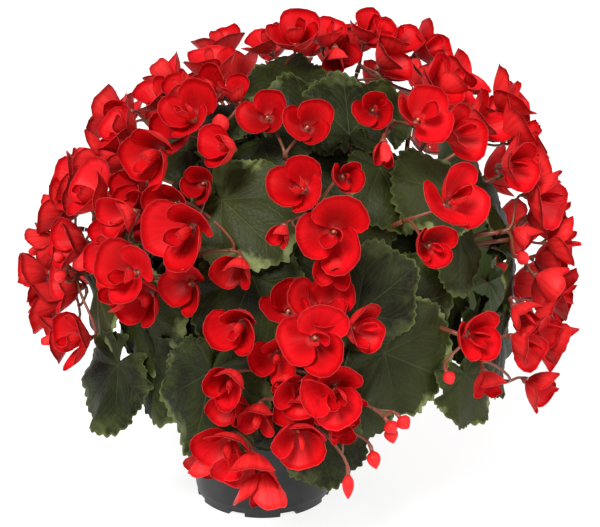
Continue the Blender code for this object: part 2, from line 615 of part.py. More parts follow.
def bloom_object(name, bloom, path, radii, collection):
    """One bloom on its stalk: a three-sided stalk, a heart of two rings, and petals grown from the rings' sides."""
    axis, upward, right = bloom["axes"]
    third = 2 * np.pi / 3
    heart = bloom["heart"]
    frames = frames_along(np.vstack([path, heart]), upward)
    rings = [(place, radius, (first, -second), 0.0) for place, radius, (first, second) in zip(path, radii, frames)]
    rings += [(heart + rise * axis, HEART_RADIUS, (upward, right), 0.0) for rise in (0.0, HEART_RING)]
    if bloom["inner"]:
        low = HEART_RING + HEART_STEP
        rings += [(heart + rise * axis, INNER_RADIUS, (upward, right), 0.5) for rise in (low, low + HEART_RING)]
    vertices = []
    for place, radius, (first, second), step in rings:
        vertices += list(ring(place, radius, first, second, bloom["spin"] + third * (np.arange(3) + 0.5 + step)))
    top = len(vertices)
    faces = [(0, 1, 2), (top - 3, top - 2, top - 1)]
    outer, inner = petal_angles(bloom)
    outer_band = len(path)
    inner_band = outer_band + 2
    for lower in range(len(rings) - 1):
        for corner in range(3):
            a, b = 3 * lower + corner, 3 * lower + (corner + 1) % 3
            a_up, b_up = a + 3, b + 3
            petals = {outer_band: outer, inner_band: inner}.get(lower, [])
            number = (corner + 1) % 3
            if number < len(petals):
                grow_petal(vertices, faces, bloom, lower == inner_band, petals[number], (a, b, a_up, b_up))
            elif lower == outer_band + 1:
                faces.append((a, b, a_up))
                faces.append((b, b_up, a_up))
            else:
                faces.append((a, b, b_up))
                faces.append((a, b_up, a_up))
    return mesh_object(name, vertices, faces, collection)


def bud_object(name, bud, path, radii, collection):
    """A closed bud on its stalk: one four-sided tube that swells and comes to a point."""
    axis = bud["axes"][0]
    thick = bud["width"] * bud["open"] / 2
    swell = [bud["heart"] + bud["width"] * share * axis for share in (0.35, 0.75, 1.0)]
    return tube_object(name, np.vstack([path, swell]), [*radii, thick, 0.75 * thick, 0.15 * thick], BUD_SIDES, collection)


def largest_body(mesh, weld):
    """Keeps the one body that everything is joined in, and fills hollows that the joining sealed. Counts lost pieces."""
    work = bmesh.new()
    work.from_mesh(mesh)
    bmesh.ops.remove_doubles(work, verts=work.verts, dist=weld)
    bmesh.ops.dissolve_degenerate(work, edges=work.edges, dist=weld)
    bmesh.ops.triangulate(work, faces=work.faces)
    waiting = set(work.verts)
    bodies = []
    while waiting:
        front = [waiting.pop()]
        body = set(front)
        while front:
            vertex = front.pop()
            for edge in vertex.link_edges:
                other = edge.other_vert(vertex)
                if other in waiting:
                    waiting.discard(other)
                    body.add(other)
                    front.append(other)
        bodies.append(body)
    bodies.sort(key=len, reverse=True)
    lost = 0
    for body in bodies[1:]:
        faces = {face for vertex in body for face in vertex.link_faces}
        volume = sum(a.co.dot(b.co.cross(c.co)) / 6 for a, b, c in (face.verts for face in faces))
        lost += volume > LOST_VOLUME
        bmesh.ops.delete(work, geom=list(body), context="VERTS")
    bmesh.ops.recalc_face_normals(work, faces=work.faces)
    work.to_mesh(mesh)
    work.free()
    return lost


def faults(mesh):
    """How many edges and corners are not those of a closed body."""
    work = bmesh.new()
    work.from_mesh(mesh)
    count = sum(not edge.is_manifold for edge in work.edges) + sum(not vertex.is_manifold for vertex in work.verts)
    work.free()
    return count


def join_all(name, base, repeats, target, material):
    """One union of the base with everything in a collection, applied, and the collection emptied."""
    union = base.modifiers.new("Join", "BOOLEAN")
    union.operation = "UNION"
    union.operand_type = "COLLECTION"
    union.collection = repeats
    best = None
    for weld in WELDS:
        for solver in ("EXACT", "MANIFOLD"):
            union.solver = solver
            bpy.context.view_layer.update()
            shape = base.evaluated_get(bpy.context.evaluated_depsgraph_get())
            joined = bpy.data.meshes.new_from_object(shape)
            lost = largest_body(joined, weld)
            if joined.polygons and faults(joined) == 0 and (best is None or lost < best[0]):
                best = (lost, joined)
        if best and best[0] == 0:
            break
    mesh = best[1]
    for obj in [base] + list(repeats.objects):
        bpy.data.objects.remove(obj)
    node = link(bpy.data.objects.new(name, mesh), target)
    mesh.materials.clear()
    mesh.materials.append(material)
    return node


def principled(name, colour, roughness):
    material = bpy.data.materials.new(name)
    material.use_nodes = True
    shader = material.node_tree.nodes["Principled BSDF"]
    shader.inputs["Base Color"].default_value = (*colour, 1.0)
    shader.inputs["Roughness"].default_value = roughness
    shader.inputs["Metallic"].default_value = 0.0
    return material


def turned(name, profile, sides, collection):
    """A profile of (distance from the axis, height) turned round the pot's axis."""
    mesh = bpy.data.meshes.new(name)
    edges = [(index, index + 1) for index in range(len(profile) - 1)]
    mesh.from_pydata([(radius, 0.0, height) for radius, height in profile], edges, [])
    obj = link(bpy.data.objects.new(name, mesh), collection)
    screw = obj.modifiers.new("Turn", "SCREW")
    screw.axis = "Z"
    screw.steps = sides
    screw.render_steps = sides
    screw.use_merge_vertices = True
    screw.merge_threshold = 0.00001
    return obj


def cutter(name, make, cutters):
    """A closed cutting shape made by a function on a bmesh, left out of the model."""
    mesh = bpy.data.meshes.new(name)
    work = bmesh.new()
    make(work)
    work.to_mesh(mesh)
    work.free()
    obj = link(bpy.data.objects.new(name, mesh), cutters)
    obj.hide_render = True
    obj.display_type = "WIRE"
    return obj


def cut(obj, tool):
    hole = obj.modifiers.new("Cut_" + tool.name, "BOOLEAN")
    hole.operation = "DIFFERENCE"
    hole.object = tool
    hole.solver = "EXACT"


def inner_radius(height):
    """The radius of the pot's inner wall at a height."""
    return POT_BASE_RADIUS + (POT_TOP_RADIUS - POT_BASE_RADIUS) * height / POT_HEIGHT - POT_WALL


def make_pot(model, cutters, material):
    rim_low = POT_HEIGHT - POT_RIM_HEIGHT
    wall_at_rim = inner_radius(rim_low) + POT_WALL
    profile = [
        (0.0, FLOOR_HEIGHT),
        (inner_radius(FLOOR_HEIGHT), FLOOR_HEIGHT),
        (inner_radius(POT_HEIGHT), POT_HEIGHT),
        (POT_TOP_RADIUS + POT_RIM_PROUD, POT_HEIGHT),
        (POT_TOP_RADIUS + POT_RIM_PROUD, rim_low + 0.001),
        (wall_at_rim, rim_low),
        (POT_BASE_RADIUS, 0.0),
        (POT_BASE_RADIUS - FOOT_RING_WIDTH, 0.0),
        (POT_BASE_RADIUS - FOOT_RING_WIDTH - 0.001, GROOVE_HEIGHT),
        (CENTRE_DISC_RADIUS + 0.001, GROOVE_HEIGHT),
        (CENTRE_DISC_RADIUS, 0.0),
        (0.0, 0.0),
    ]
    pot = turned("pot", profile, POT_SIDES, model)

    def notches(work):
        middle = POT_BASE_RADIUS - FOOT_RING_WIDTH / 2
        for index in range(NOTCHES):
            turn = Matrix.Rotation(2 * np.pi * (index + 0.5) / NOTCHES, 4, "Z")
            size = Matrix.Diagonal((FOOT_RING_WIDTH + 0.006, NOTCH_WIDTH, 2 * GROOVE_HEIGHT, 1.0))
            bmesh.ops.create_cube(work, size=1.0, matrix=turn @ Matrix.Translation((middle + 0.0015, 0.0, 0.0)) @ size)

    def drains(work):
        for index in range(DRAIN_HOLES):
            turn = Matrix.Rotation(2 * np.pi * (index + 0.25) / DRAIN_HOLES, 4, "Z")
            bmesh.ops.create_cone(
                work, segments=HOLE_SIDES, radius1=DRAIN_HOLE_RADIUS, radius2=DRAIN_HOLE_RADIUS, depth=0.02, cap_ends=True,
                matrix=turn @ Matrix.Translation((DRAIN_CIRCLE, 0.0, FLOOR_HEIGHT)))

    cut(pot, cutter("notch_tool", notches, cutters))
    cut(pot, cutter("drain_tool", drains, cutters))
    pot.data.materials.append(material)
    return pot


def make_soil(model, cutters, material):
    top = POT_HEIGHT - SOIL_DEPTH_BELOW_RIM
    bottom = FLOOR_HEIGHT + GAP
    flat = np.cos(np.pi / POT_SIDES)
    profile = [
        (0.0, top + 0.003),
        (0.6 * inner_radius(top), top + 0.002),
        (inner_radius(top) * flat - GAP, top - 0.001),
        (inner_radius(bottom) * flat - GAP, bottom),
        (0.0, bottom),
    ]
    soil = turned("soil", profile, POT_SIDES, model)

    def holes(work):
        for index in range(STEMS):
            foot = stem_place(index, top)
            bmesh.ops.create_cone(
                work, segments=HOLE_SIDES, radius1=STEM_HOLE_RADIUS, radius2=STEM_HOLE_RADIUS,
                depth=2 * STEM_HOLE_DEPTH, cap_ends=True, matrix=Matrix.Translation((foot[0], foot[1], top)))

    cut(soil, cutter("hole_tool", holes, cutters))
    soil.data.materials.append(material)
    return soil


def make_leafy_stem(index, leaves, forks, model, repeats, material):
    """One main stem with its leaves, their stalks and its branches, joined in one body."""
    name = "leafy_stem_%d" % (index + 1)
    foot = POT_HEIGHT - SOIL_DEPTH_BELOW_RIM - STEM_HOLE_DEPTH + GAP
    heights = np.array([foot, *STEM_KNEES, STEM_TOP])
    radii = np.linspace(STEM_RADIUS, STEM_TOP_RADIUS, len(heights))
    stem = tube_object(name + "_base", stem_place(index, heights), radii, STEM_SIDES, model)
    stalks = []
    for leaf in leaves:
        place, outward, upward, right = bell_frame(leaf[0], leaf[1], LEAF_LAYERS[leaf[4]])
        end = leaf_point(leaf, np.zeros(1), np.zeros(1))[0] - LEAF_THICKNESS / 2 * outward
        stalks.append((end, outward + clock_direction(leaf[2], upward, right), leaf))
    stalks += [(place, away, None) for place, away in forks]
    stalks.sort(key=lambda stalk: stalk[0][2])
    starts = np.linspace(STALK_LOW, STALK_HIGH, len(stalks))
    for number, (height, (end, arrive, leaf)) in enumerate(zip(starts, stalks)):
        if leaf:
            path = stalk_path(index, height, end, arrive, 4)
            leaf_object("%s_leaf_%d" % (name, number), leaf, path, repeats)
        else:
            path = stalk_path(index, height, end, arrive, 4)
            path[-2] = end - BRANCH_STRAIGHT * arrive
            tube_object("%s_branch_%d" % (name, number), path, [BRANCH_RADIUS] * 4, STALK_SIDES, repeats)
    return join_all(name, stem, repeats, model, material)


def make_spray(number, spray, fork, model, repeats, material):
    """The blooms and buds of one branch: the first one's stalk is thick at its foot, where the others start in it."""
    name = "spray_%02d" % (number + 1)
    place, away = fork
    start = place + GAP * away
    inside = start + FORK_ROOT_SHARE * FORK_LENGTH * away
    top = start + FORK_LENGTH * away
    base = None
    for index, bloom in enumerate(spray):
        root = top if index == 0 else inside
        axis = bloom["axes"][0]
        foot = bloom["heart"] - HEART_FOOT * axis
        gap = np.linalg.norm(foot - root)
        count = 3 if gap > LONG_PEDICEL else 2
        path = bezier(root, LEAVE_SHARE * gap * away, ARRIVE_SHARE * gap * axis, foot, count)
        radii = [PEDICEL_RADIUS] * count
        if index == 0:
            path = np.vstack([start, path])
            radii = [FORK_RADIUS, FORK_TAPER * FORK_RADIUS] + radii[1:]
        make = bloom_object if bloom["outer"] else bud_object
        piece = make("%s_bloom_%d" % (name, index), bloom, path, radii, model if index == 0 else repeats)
        base = base or piece
    return join_all(name, base, repeats, model, material)


def main():
    for obj in list(bpy.data.objects):
        bpy.data.objects.remove(obj)
    scene = bpy.context.scene
    model = bpy.data.collections.new("potted_begonia")
    cutters = bpy.data.collections.new("cutters")
    repeats = bpy.data.collections.new("repeats")
    for collection in (model, cutters, repeats):
        scene.collection.children.link(collection)
    plastic = principled("black_plastic", (0.018, 0.017, 0.017), 0.45)
    peat = principled("peat", (0.030, 0.020, 0.014), 0.95)
    green = principled("leaf_green", (0.035, 0.075, 0.022), 0.50)
    red = principled("petal_red", (0.780, 0.012, 0.014), 0.45)

    make_pot(model, cutters, plastic)
    make_soil(model, cutters, peat)

    leaves = FRONT_LEAVES + back_leaves()
    sprays = [[read_bloom(row) for row in rows] for rows in FRONT_SPRAYS + back_sprays()]
    settle_blooms(sprays)
    forks = [fork_place(spray, leaves) for spray in sprays]
    for index in range(STEMS):
        own_leaves = [leaf for leaf in leaves if stem_near(bell_frame(leaf[0], leaf[1], 0.0)[0]) == index]
        own_forks = [fork for fork in forks if stem_near(fork[0]) == index]
        make_leafy_stem(index, own_leaves, own_forks, model, repeats, green)
    for number, (spray, fork) in enumerate(zip(sprays, forks)):
        make_spray(number, spray, fork, model, repeats, red)
    bpy.data.collections.remove(repeats)


main()
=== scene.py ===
import bpy
import numpy as np
from mathutils import Matrix


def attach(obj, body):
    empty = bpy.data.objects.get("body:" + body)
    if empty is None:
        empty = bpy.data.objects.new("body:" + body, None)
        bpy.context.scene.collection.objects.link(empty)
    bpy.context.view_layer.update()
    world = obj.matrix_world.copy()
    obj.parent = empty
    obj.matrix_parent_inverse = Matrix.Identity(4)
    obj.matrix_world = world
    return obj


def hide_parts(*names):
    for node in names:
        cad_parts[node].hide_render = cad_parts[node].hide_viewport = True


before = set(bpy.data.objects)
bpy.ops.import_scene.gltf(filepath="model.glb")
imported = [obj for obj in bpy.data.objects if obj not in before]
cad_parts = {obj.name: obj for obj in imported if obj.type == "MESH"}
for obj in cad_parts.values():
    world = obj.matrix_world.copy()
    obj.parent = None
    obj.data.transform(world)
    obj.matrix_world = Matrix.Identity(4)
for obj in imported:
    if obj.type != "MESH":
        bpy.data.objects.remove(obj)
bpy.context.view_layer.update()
print("frame loaded")

# The plant is a bell: a dome over a straight skirt. Turn is the angle round it from the front towards the
# right, climb the angle up the dome, or down the skirt where it is negative, and depth how far out of the
# bell a place is.
bell = {
    "middle": 0.025,
    "shoulder": 0.165,
    "radius": 0.160,
    "dome": 0.145,
    "seed": 7,
}

# Turn, climb, clock angle of the tip (0 up, 90 right), length in mm, layer, and lift of the tip in mm
frontLeaves = [
    (-57, -24, 215, 78, 0, 26),
    (-47, -3, 160, 64, 1, 0),
    (-34, -8, 170, 76, 2, 6),
    (-23, -18, 190, 78, 0, 10),
    (-18, 33, 125, 72, 0, 0),
    (-15, 10, 200, 76, 1, 0),
    (1, 20, 120, 46, 2, 0),
    (18, 10, 60, 64, 0, 0),
    (28, -11, 120, 74, 1, 0),
    (36, 4, 90, 58, 2, 0),
    (49, -24, 150, 72, 0, 6),
    (59, -9, 170, 58, 3, 0),
    (47, 36, 300, 62, 0, 0),
    (33, 42, 180, 60, 1, 0),
    (-16, 55, 150, 46, 1, 0),
    (12, 54, 120, 60, 2, 0),
    (31, 20, 170, 72, 3, 0),
    (-82, 78, 200, 46, 0, 0),
    (95, 68, 180, 50, 2, 0),
    (51, 17, 200, 50, 1, 0),
    (86, 14, 100, 52, 1, 18),
    (17, -29, 150, 62, 2, 8),
    (5, -33, 165, 58, 0, 0),
    (72, 26, 160, 44, 0, 0),
    (-68, -2, 180, 48, 3, 0),
    (-66, 18, 150, 48, 1, 0),
    (-9, -27, 170, 46, 1, 0),
    (23, 32, 160, 36, 2, 0),
    (-62, 49, 250, 48, 1, 0),
    (-40, 34, 220, 56, 2, 0),
    (-45, 62, 250, 46, 0, 0),
    (-6, 69, 180, 48, 3, 0),
    (68, -20, 170, 56, 2, 0),
    (78, 2, 170, 56, 0, 0),
]

# More leaves, laid out in the same way. Most lie deep inside, behind the dense heads of blooms, a few nearer
# the surface at the crown and the sides, and the last five at the back.
fillLeaves = [
    (-84, 34, 200, 58, 4, 0),
    (-64, 32, 190, 62, 4, 0),
    (-76, 10, 180, 62, 4, 0),
    (-56, 8, 200, 60, 4, 0),
    (-84, -10, 190, 64, 3, 0),
    (-30, 52, 200, 56, 4, 0),
    (-88, 58, 200, 52, 4, 0),
    (70, 34, 170, 60, 4, 0),
    (84, 40, 180, 56, 4, 0),
    (68, 10, 160, 62, 4, 0),
    (92, 22, 170, 60, 4, 0),
    (84, -12, 180, 64, 4, 0),
    (60, 54, 160, 54, 4, 0),
    (0, -10, 180, 66, 4, 0),
    (-20, 22, 190, 62, 4, 0),
    (20, 62, 180, 50, 4, 0),
    (56, -12, 180, 60, 4, 0),
    (-72, -8, 170, 62, 4, 0),
    (-60, -16, 190, 62, 4, 0),
    (-46, 18, 190, 58, 4, 0),
    (0, 40, 190, 58, 4, 0),
    (50, 30, 190, 58, 4, 0),
    (6, 68, 350, 56, 1, 26),
    (32, 66, 20, 56, 1, 26),
    (60, 66, 40, 54, 1, 24),
    (28, 50, 180, 56, 4, 0),
    (-66, -4, 190, 60, 0, 0),
    (-43, -20, 185, 58, 1, 0),
    (66, -19, 180, 58, 0, 0),
    (-20, 80, 350, 52, 0, 20),
    (180, 54, 180, 66, 4, 0),
    (-144, 48, 190, 66, 4, 0),
    (144, 50, 170, 66, 4, 0),
    (-112, 38, 190, 64, 4, 0),
    (114, 60, 170, 62, 4, 0),
]

# The lowest leaves are drawn at this share of their length, each after its turn
lowLeafShares = {-57: 0.80, 49: 0.76, 17: 0.80, -23: 0.92, 5: 0.90}

# Rows of the back: climb, number, first turn, step, length in mm
backLeafRows = [
    (-22, 4, 106, 48, 74),
    (6, 4, 112, 43, 74),
    (34, 3, 119, 52, 68),
    (54, 2, 152, 66, 62),
]

# Turn, climb, depth in mm, facing turn and climb, width in mm, openness, spin, outer petals, inner petals.
# A bud has no petals: its width is its length, and its openness is its thickness as a share of that.
frontSprays = [
    [(-90, 43, 0, -115, 20, 44, 0.9, 20, 3, 2), (-74, 54, -4, -60, 55, 38, 0.7, 0, 3, 0),
     (-76, 46, 2, -40, -5, 34, 0.6, 60, 3, 0)],
    [(-58, 59, 0, -70, 45, 36, 0.6, 10, 3, 1), (-63, 68, 0, -60, 75, 42, 0.8, 40, 3, 1)],
    [(-37, 52, 5, -20, 40, 46, 0.8, 15, 3, 2), (-27, 61, -2, -10, 65, 30, 0.4, 0, 3, 0),
     (-21, 45, 5, -35, 20, 38, 0.5, 30, 3, 1), (-27, 50, 4, -10, 60, 20, 0.55, 0, 0, 0)],
    [(-70, 37, 0, -95, 15, 40, 0.8, 0, 3, 1), (-40, 40, 5, -35, 0, 48, 0.8, 0, 3, 2),
     (-56, 28, 5, -60, 30, 46, 0.9, 50, 3, 2)],
    [(-84, 17, 0, -105, 20, 42, 0.9, 0, 3, 1), (-84, 6, 4, -95, -25, 38, 0.8, 30, 3, 1)],
    [(-39, 25, 12, -48, -5, 38, 0.6, 60, 3, 1), (-44, 31, -8, -30, 10, 40, 0.7, 20, 3, 0)],
    [(-25, 26, 6, -25, 5, 54, 0.8, 25, 3, 2), (-30, 39, -8, -20, 10, 36, 0.7, 0, 3, 0),
     (-14, 20, -8, -10, -30, 34, 0.6, 0, 3, 0)],
    [(-37, 16, 8, -30, 15, 44, 0.8, 40, 3, 2), (-42, 8, 0, -35, 40, 30, 0.6, 0, 3, 0),
     (-48, 14, -4, -50, 10, 36, 0.8, 20, 3, 0), (-26, 14, -10, -25, 0, 38, 0.8, 0, 3, 0)],
    [(-81, -5, 0, -85, 0, 54, 0.8, 0, 3, 2), (-54, -6, 4, -50, 10, 44, 0.8, 30, 3, 2),
     (-62, 6, 4, -50, 40, 13, 0.6, 0, 0, 0), (-67, 9, 2, -70, 50, 11, 0.6, 0, 0, 0)],
    [(1, 36, 10, -20, 30, 44, 0.8, 0, 3, 2), (10, 38, 13, 20, 20, 34, 0.5, 20, 3, 1),
     (7, 27, 10, -10, 10, 48, 0.8, 10, 3, 2), (-4, 28, 0, -20, -20, 26, 0.4, 0, 3, 0)],
    [(-94, 83, 0, -60, 60, 36, 0.7, 20, 3, 1), (7, 86, 5, 0, 60, 46, 0.9, 0, 3, 2)],
    [(100, 83, 0, 20, 70, 38, 0.8, 40, 3, 1), (80, 82, -10, 0, -45, 30, 0.4, 0, 3, 0)],
    [(113, 74, 2, 30, 60, 42, 0.8, 0, 3, 1), (109, 66, -2, 60, 50, 34, 0.7, 30, 3, 0)],
    [(105, 60, 2, 60, 30, 44, 0.8, 0, 3, 2), (95, 54, 0, 90, 40, 40, 0.8, 20, 3, 1)],
    [(92, 45, 0, 80, 50, 40, 0.8, 0, 3, 1), (86, 36, 4, 75, 30, 48, 0.9, 30, 3, 2)],
    [(84, 26, 4, 95, 20, 46, 0.9, 0, 3, 2), (65, 33, 8, 40, 10, 40, 0.7, 20, 3, 1),
     (92, 22, 6, 100, 20, 15, 0.5, 0, 0, 0)],
    [(73, 22, 6, 70, 0, 50, 0.8, 0, 3, 2), (67, 17, -6, 50, -30, 32, 0.6, 30, 3, 0),
     (57, 13, 2, 30, 10, 14, 0.6, 0, 0, 0)],
    [(76, 10, 6, 85, 10, 44, 0.9, 0, 3, 2), (74, 3, 2, 70, -30, 42, 0.8, 30, 3, 1)],
    [(56, 0, 0, 30, -25, 36, 0.6, 0, 3, 1), (80, -4, 4, 85, -5, 46, 0.9, 0, 3, 2),
     (76, -14, 4, 75, -30, 46, 0.9, 40, 3, 1)],
    [(36, 1, 8, 30, 10, 42, 0.7, 15, 3, 2), (32, -8, 2, 20, -30, 13, 0.6, 0, 0, 0)],
    [(65, -23, 2, 60, -20, 42, 0.8, 0, 3, 1), (44, -13, 0, 20, -40, 32, 0.5, 0, 3, 0)],
    [(31, 56, 2, 0, 20, 38, 0.7, 0, 3, 1), (38, 50, 10, 20, 40, 42, 0.8, 20, 3, 1),
     (50, 45, 6, 40, 20, 42, 0.8, 0, 3, 1), (27, 47, -2, 0, -45, 28, 0.4, 0, 3, 0)],
    [(35, 30, 14, 35, 35, 48, 0.9, 0, 3, 2), (27, 22, 14, 15, 10, 42, 0.7, 25, 3, 1)],
    [(-13, 59, -6, -10, 30, 38, 0.8, 0, 3, 0), (0, 56, -6, 10, 30, 36, 0.8, 20, 3, 0)],
    [(-12, 5, 5, -15, 5, 46, 0.7, 0, 3, 2), (-12, -5, 6, -18, -5, 44, 0.7, 30, 3, 2)],
    [(-2, 9, -6, 0, 40, 42, 0.9, 0, 3, 0), (3, 4, 10, 5, 15, 48, 0.8, 10, 3, 2),
     (11, 6, 2, 45, 10, 38, 0.7, 0, 3, 1)],
    [(6, -5, 10, 5, 0, 46, 0.8, 20, 3, 2), (-3, -6, 2, -20, -20, 28, 0.5, 0, 3, 0)],
    [(-8, -12, 2, -20, -30, 36, 0.7, 0, 3, 1), (-1, -17, 4, 0, -20, 42, 0.8, 30, 3, 1),
     (7, -18, -2, 15, -30, 30, 0.5, 0, 3, 0), (15, -25, 2, 20, -50, 16, 0.55, 0, 0, 0),
     (10, -31, 2, 0, -80, 22, 0.35, 0, 0, 0)],
    [(-20, -31, -6, -40, -55, 38, 0.7, 0, 3, 0), (-8, -33, 0, 0, -70, 46, 0.8, 30, 3, 2)],
]

# Blooms and buds behind the others, each after the number of its spray. They fill the dense heads.
fillBlooms = [
    (2, (-50, 64, -6, -40, 40, 38, 0.7, 0, 3, 1)),
    (4, (-62, 38, -4, -70, 20, 40, 0.7, 10, 3, 1)),
    (4, (-50, 34, -8, -45, 15, 38, 0.7, 0, 3, 0)),
    (5, (-74, 11, -6, -75, 10, 40, 0.7, 0, 3, 0)),
    (6, (-50, 22, -8, -50, 10, 38, 0.7, 0, 3, 0)),
    (7, (-34, 32, -6, -30, 5, 40, 0.7, 40, 3, 1)),
    (8, (-36, 9, -8, -30, -5, 44, 0.8, 0, 3, 1)),
    (9, (-74, -13, -2, -70, -20, 44, 0.8, 0, 3, 1)),
    (9, (-69, 1, -8, -65, 5, 40, 0.7, 30, 3, 0)),
    (10, (7, 20, 0, 5, -20, 36, 0.5, 0, 3, 0)),
    (12, (118, 80, -8, 40, 50, 36, 0.7, 0, 3, 1)),
    (13, (106, 70, 6, 50, 60, 42, 0.8, 0, 3, 1)),
    (15, (96, 41, 12, 90, 40, 48, 0.9, 0, 3, 1)),
    (15, (97, 31, 10, 95, 25, 48, 0.9, 30, 3, 1)),
    (17, (90, 13, 6, 90, 15, 46, 0.8, 0, 3, 1)),
    (18, (90, 2, 4, 92, 0, 44, 0.8, 20, 3, 0)),
    (19, (68, -8, 0, 60, -10, 42, 0.8, 0, 3, 1)),
    (19, (88, -10, 2, 88, -15, 44, 0.8, 50, 3, 0)),
    (25, (-14, -13, -4, -25, -25, 36, 0.6, 0, 3, 0)),
    (26, (5, 12, -4, 5, 40, 44, 0.8, 40, 3, 0)),
    (27, (-5, -1, -4, -10, 5, 40, 0.7, 10, 3, 1)),
    (27, (0, -11, 0, -5, -20, 38, 0.7, 0, 3, 0)),
    (28, (8, -13, -4, 20, -20, 40, 0.8, 40, 3, 0)),
    (28, (19, -20, 0, 30, -60, 14, 0.62, 0, 0, 0)),
    (28, (21, -17, 2, 40, -30, 13, 0.70, 0, 0, 0)),
    (28, (18, -17, 4, 60, -50, 12, 0.72, 0, 0, 0)),
    (5, (-74, 22, -4, -80, 25, 44, 0.8, 50, 3, 0)),
    (3, (-46, 50, -6, -40, 30, 42, 0.7, 10, 3, 1)),
    (16, (76, 32, 0, 70, 20, 46, 0.8, 10, 3, 1)),
    (27, (2, -7, 6, 0, -15, 42, 0.7, 50, 3, 1)),
    (9, (-81, -1, 8, -75, 0, 44, 0.8, 30, 3, 1)),
    (5, (-80, 26, -2, -80, 20, 44, 0.8, 10, 3, 1)),
    (5, (-66, 14, -6, -60, 10, 42, 0.8, 40, 3, 0)),
    (4, (-66, 44, 0, -60, 40, 44, 0.8, 20, 3, 1)),
    (13, (96, 70, -2, 60, 40, 42, 0.8, 20, 3, 0)),
    (14, (84, 58, -2, 60, 30, 42, 0.8, 20, 3, 0)),
    (15, (80, 44, -2, 70, 30, 44, 0.8, 20, 3, 0)),
    (17, (80, 16, -2, 75, 10, 44, 0.8, 20, 3, 0)),
    (18, (82, 4, -2, 80, -5, 44, 0.8, 20, 3, 0)),
    (21, (57, -8, 0, 50, -10, 44, 0.8, 20, 3, 1)),
    (13, (103, 51, 6, 90, 45, 44, 0.8, 50, 3, 0)),
    (29, (-15, -23, 0, -25, -20, 44, 0.8, 20, 3, 1)),
    (29, (-10, -26, 4, -5, -40, 46, 0.8, 0, 3, 0)),
]

# Rows of the back: climb, number of sprays, first turn, step, width in mm
backSprayRows = [
    (-8, 3, 120, 56, 46),
    (22, 3, 132, 54, 48),
    (50, 2, 150, 70, 46),
]


def unit(vector):
    vector = np.asarray(vector, float)
    return vector / np.linalg.norm(vector)


# A place is the bell's radius times the cosine of the climb out, and the dome's height times its sine up
def bellFrame(turn, climb, depth):
    turn, climb = np.radians(turn), np.radians(climb)
    away = np.array([np.sin(turn), -np.cos(turn), 0.0])
    right = np.array([np.cos(turn), np.sin(turn), 0.0])
    onDome = max(climb, 0.0)
    radius = (bell["radius"] + depth) * np.cos(onDome)
    height = bell["shoulder"] + (bell["dome"] + depth) * np.sin(climb)
    place = np.array([bell["middle"], 0.0, height]) + radius * away
    slope = unit([np.cos(onDome) / (bell["radius"] + depth), np.sin(onDome) / (bell["dome"] + depth)])
    outward = slope[0] * away + np.array([0.0, 0.0, slope[1]])
    upward = -slope[1] * away + np.array([0.0, 0.0, slope[0]])
    return place, outward, upward, right


# One over the length of (distance from the axis / radius, height over the shoulder / dome)
def bellScale(points, depth):
    across = np.hypot(points[..., 0] - bell["middle"], points[..., 1])
    above = np.maximum(points[..., 2] - bell["shoulder"], 0.0)
    return 1.0 / np.hypot(across / (bell["radius"] + depth), above / (bell["dome"] + depth))


# Moves points onto the bell: the distance from its axis and the height over its shoulder, each times the
# bell's scale. Below the shoulder the height stays.
def ontoBell(points, depth):
    scale = bellScale(points, depth)
    moved = np.array(points)
    moved[..., 0] = bell["middle"] + (points[..., 0] - bell["middle"]) * scale
    moved[..., 1] = points[..., 1] * scale
    above = points[..., 2] - bell["shoulder"]
    moved[..., 2] = bell["shoulder"] + above * np.where(above > 0, scale, 1.0)
    return moved


# How far out of the bell a point is: one over its scale, less one, times the bell's radius
def depthOf(points):
    return (1.0 / bellScale(points, 0.0) - 1.0) * bell["radius"]


# Cubic curve from start to end, which leaves along one vector and arrives along another
def bezier(start, leave, arrive, end, count):
    t = np.linspace(0.0, 1.0, count)[:, None]
    first, second = start + leave, end - arrive
    return (1 - t) ** 3 * start + 3 * (1 - t) ** 2 * t * first + 3 * (1 - t) * t ** 2 * second + t ** 3 * end


# A direction on the bell's face: the cosine of the clock angle up and its sine to the right
def clockDirection(clock, upward, right):
    clock = np.radians(clock)
    return np.cos(clock) * upward + np.sin(clock) * right


def evenAngles(count):
    return 2 * np.pi * np.arange(count) / count


leafShape = {
    "layers": (-0.020, -0.029, -0.038, -0.047, -0.057),
    "body": (0.50, 0.20, 0.04),
    "lopsided": 0.08,
    "wave": 0.0016,
    "waves": 5,
    "stalkEnd": 0.20,
    "notch": 0.22,
    "notchDepth": 0.85,
    "thickness": 0.0005,
    "thinning": 0.6,
    "fullLength": 75,
    "teeth": 54,
    "teethBySize": (0.55, 0.45),
    "toothHeights": (0.35, 1.0),
    "toothLean": 1.1,
    "toothPower": 1.4,
    "toothFoot": 0.4,
    "tooth": 0.075,
    "lobes": 0.05,
    "edgeWave": 0.020,
    "edgeWaves": 9,
    "ruffle": 0.0032,
    "ruffles": 7,
    "frill": 0.0012,
    "frills": 15,
    "curlDown": -0.0040,
    "quilt": 0.0036,
    "bubbles": 0.0006,
    "veins": 8,
    "firstShare": 0.02,
    "crowding": 0.8,
    "shares": 11,
    "angles": 220,
    "fillShares": 9,
    "fillAngles": 176,
    "fillLayer": 4,
}

# Angles in degrees and widths in mm, as in the rows above. A shift is the most that a draw moves a thing
# either way.
backShape = {
    "turnShift": 4,
    "leafClimbShift": 3,
    "leafClock": 180,
    "leafClockShift": 35,
    "sprayClimbShift": 2,
    "topAbove": 9,
    "topFacing": 15,
    "sidesBelow": 7,
    "sidesApart": 10,
    "lastHigher": 5,
    "lastNarrower": 6,
    "fillApart": 12,
    "fillTurnsBackFrom": 190,
    "fillNarrower": 8,
    "fillUnder": 15,
    "fillUnderFacing": 12,
}


def drawShift(chance, most):
    return chance.uniform(-most, most)


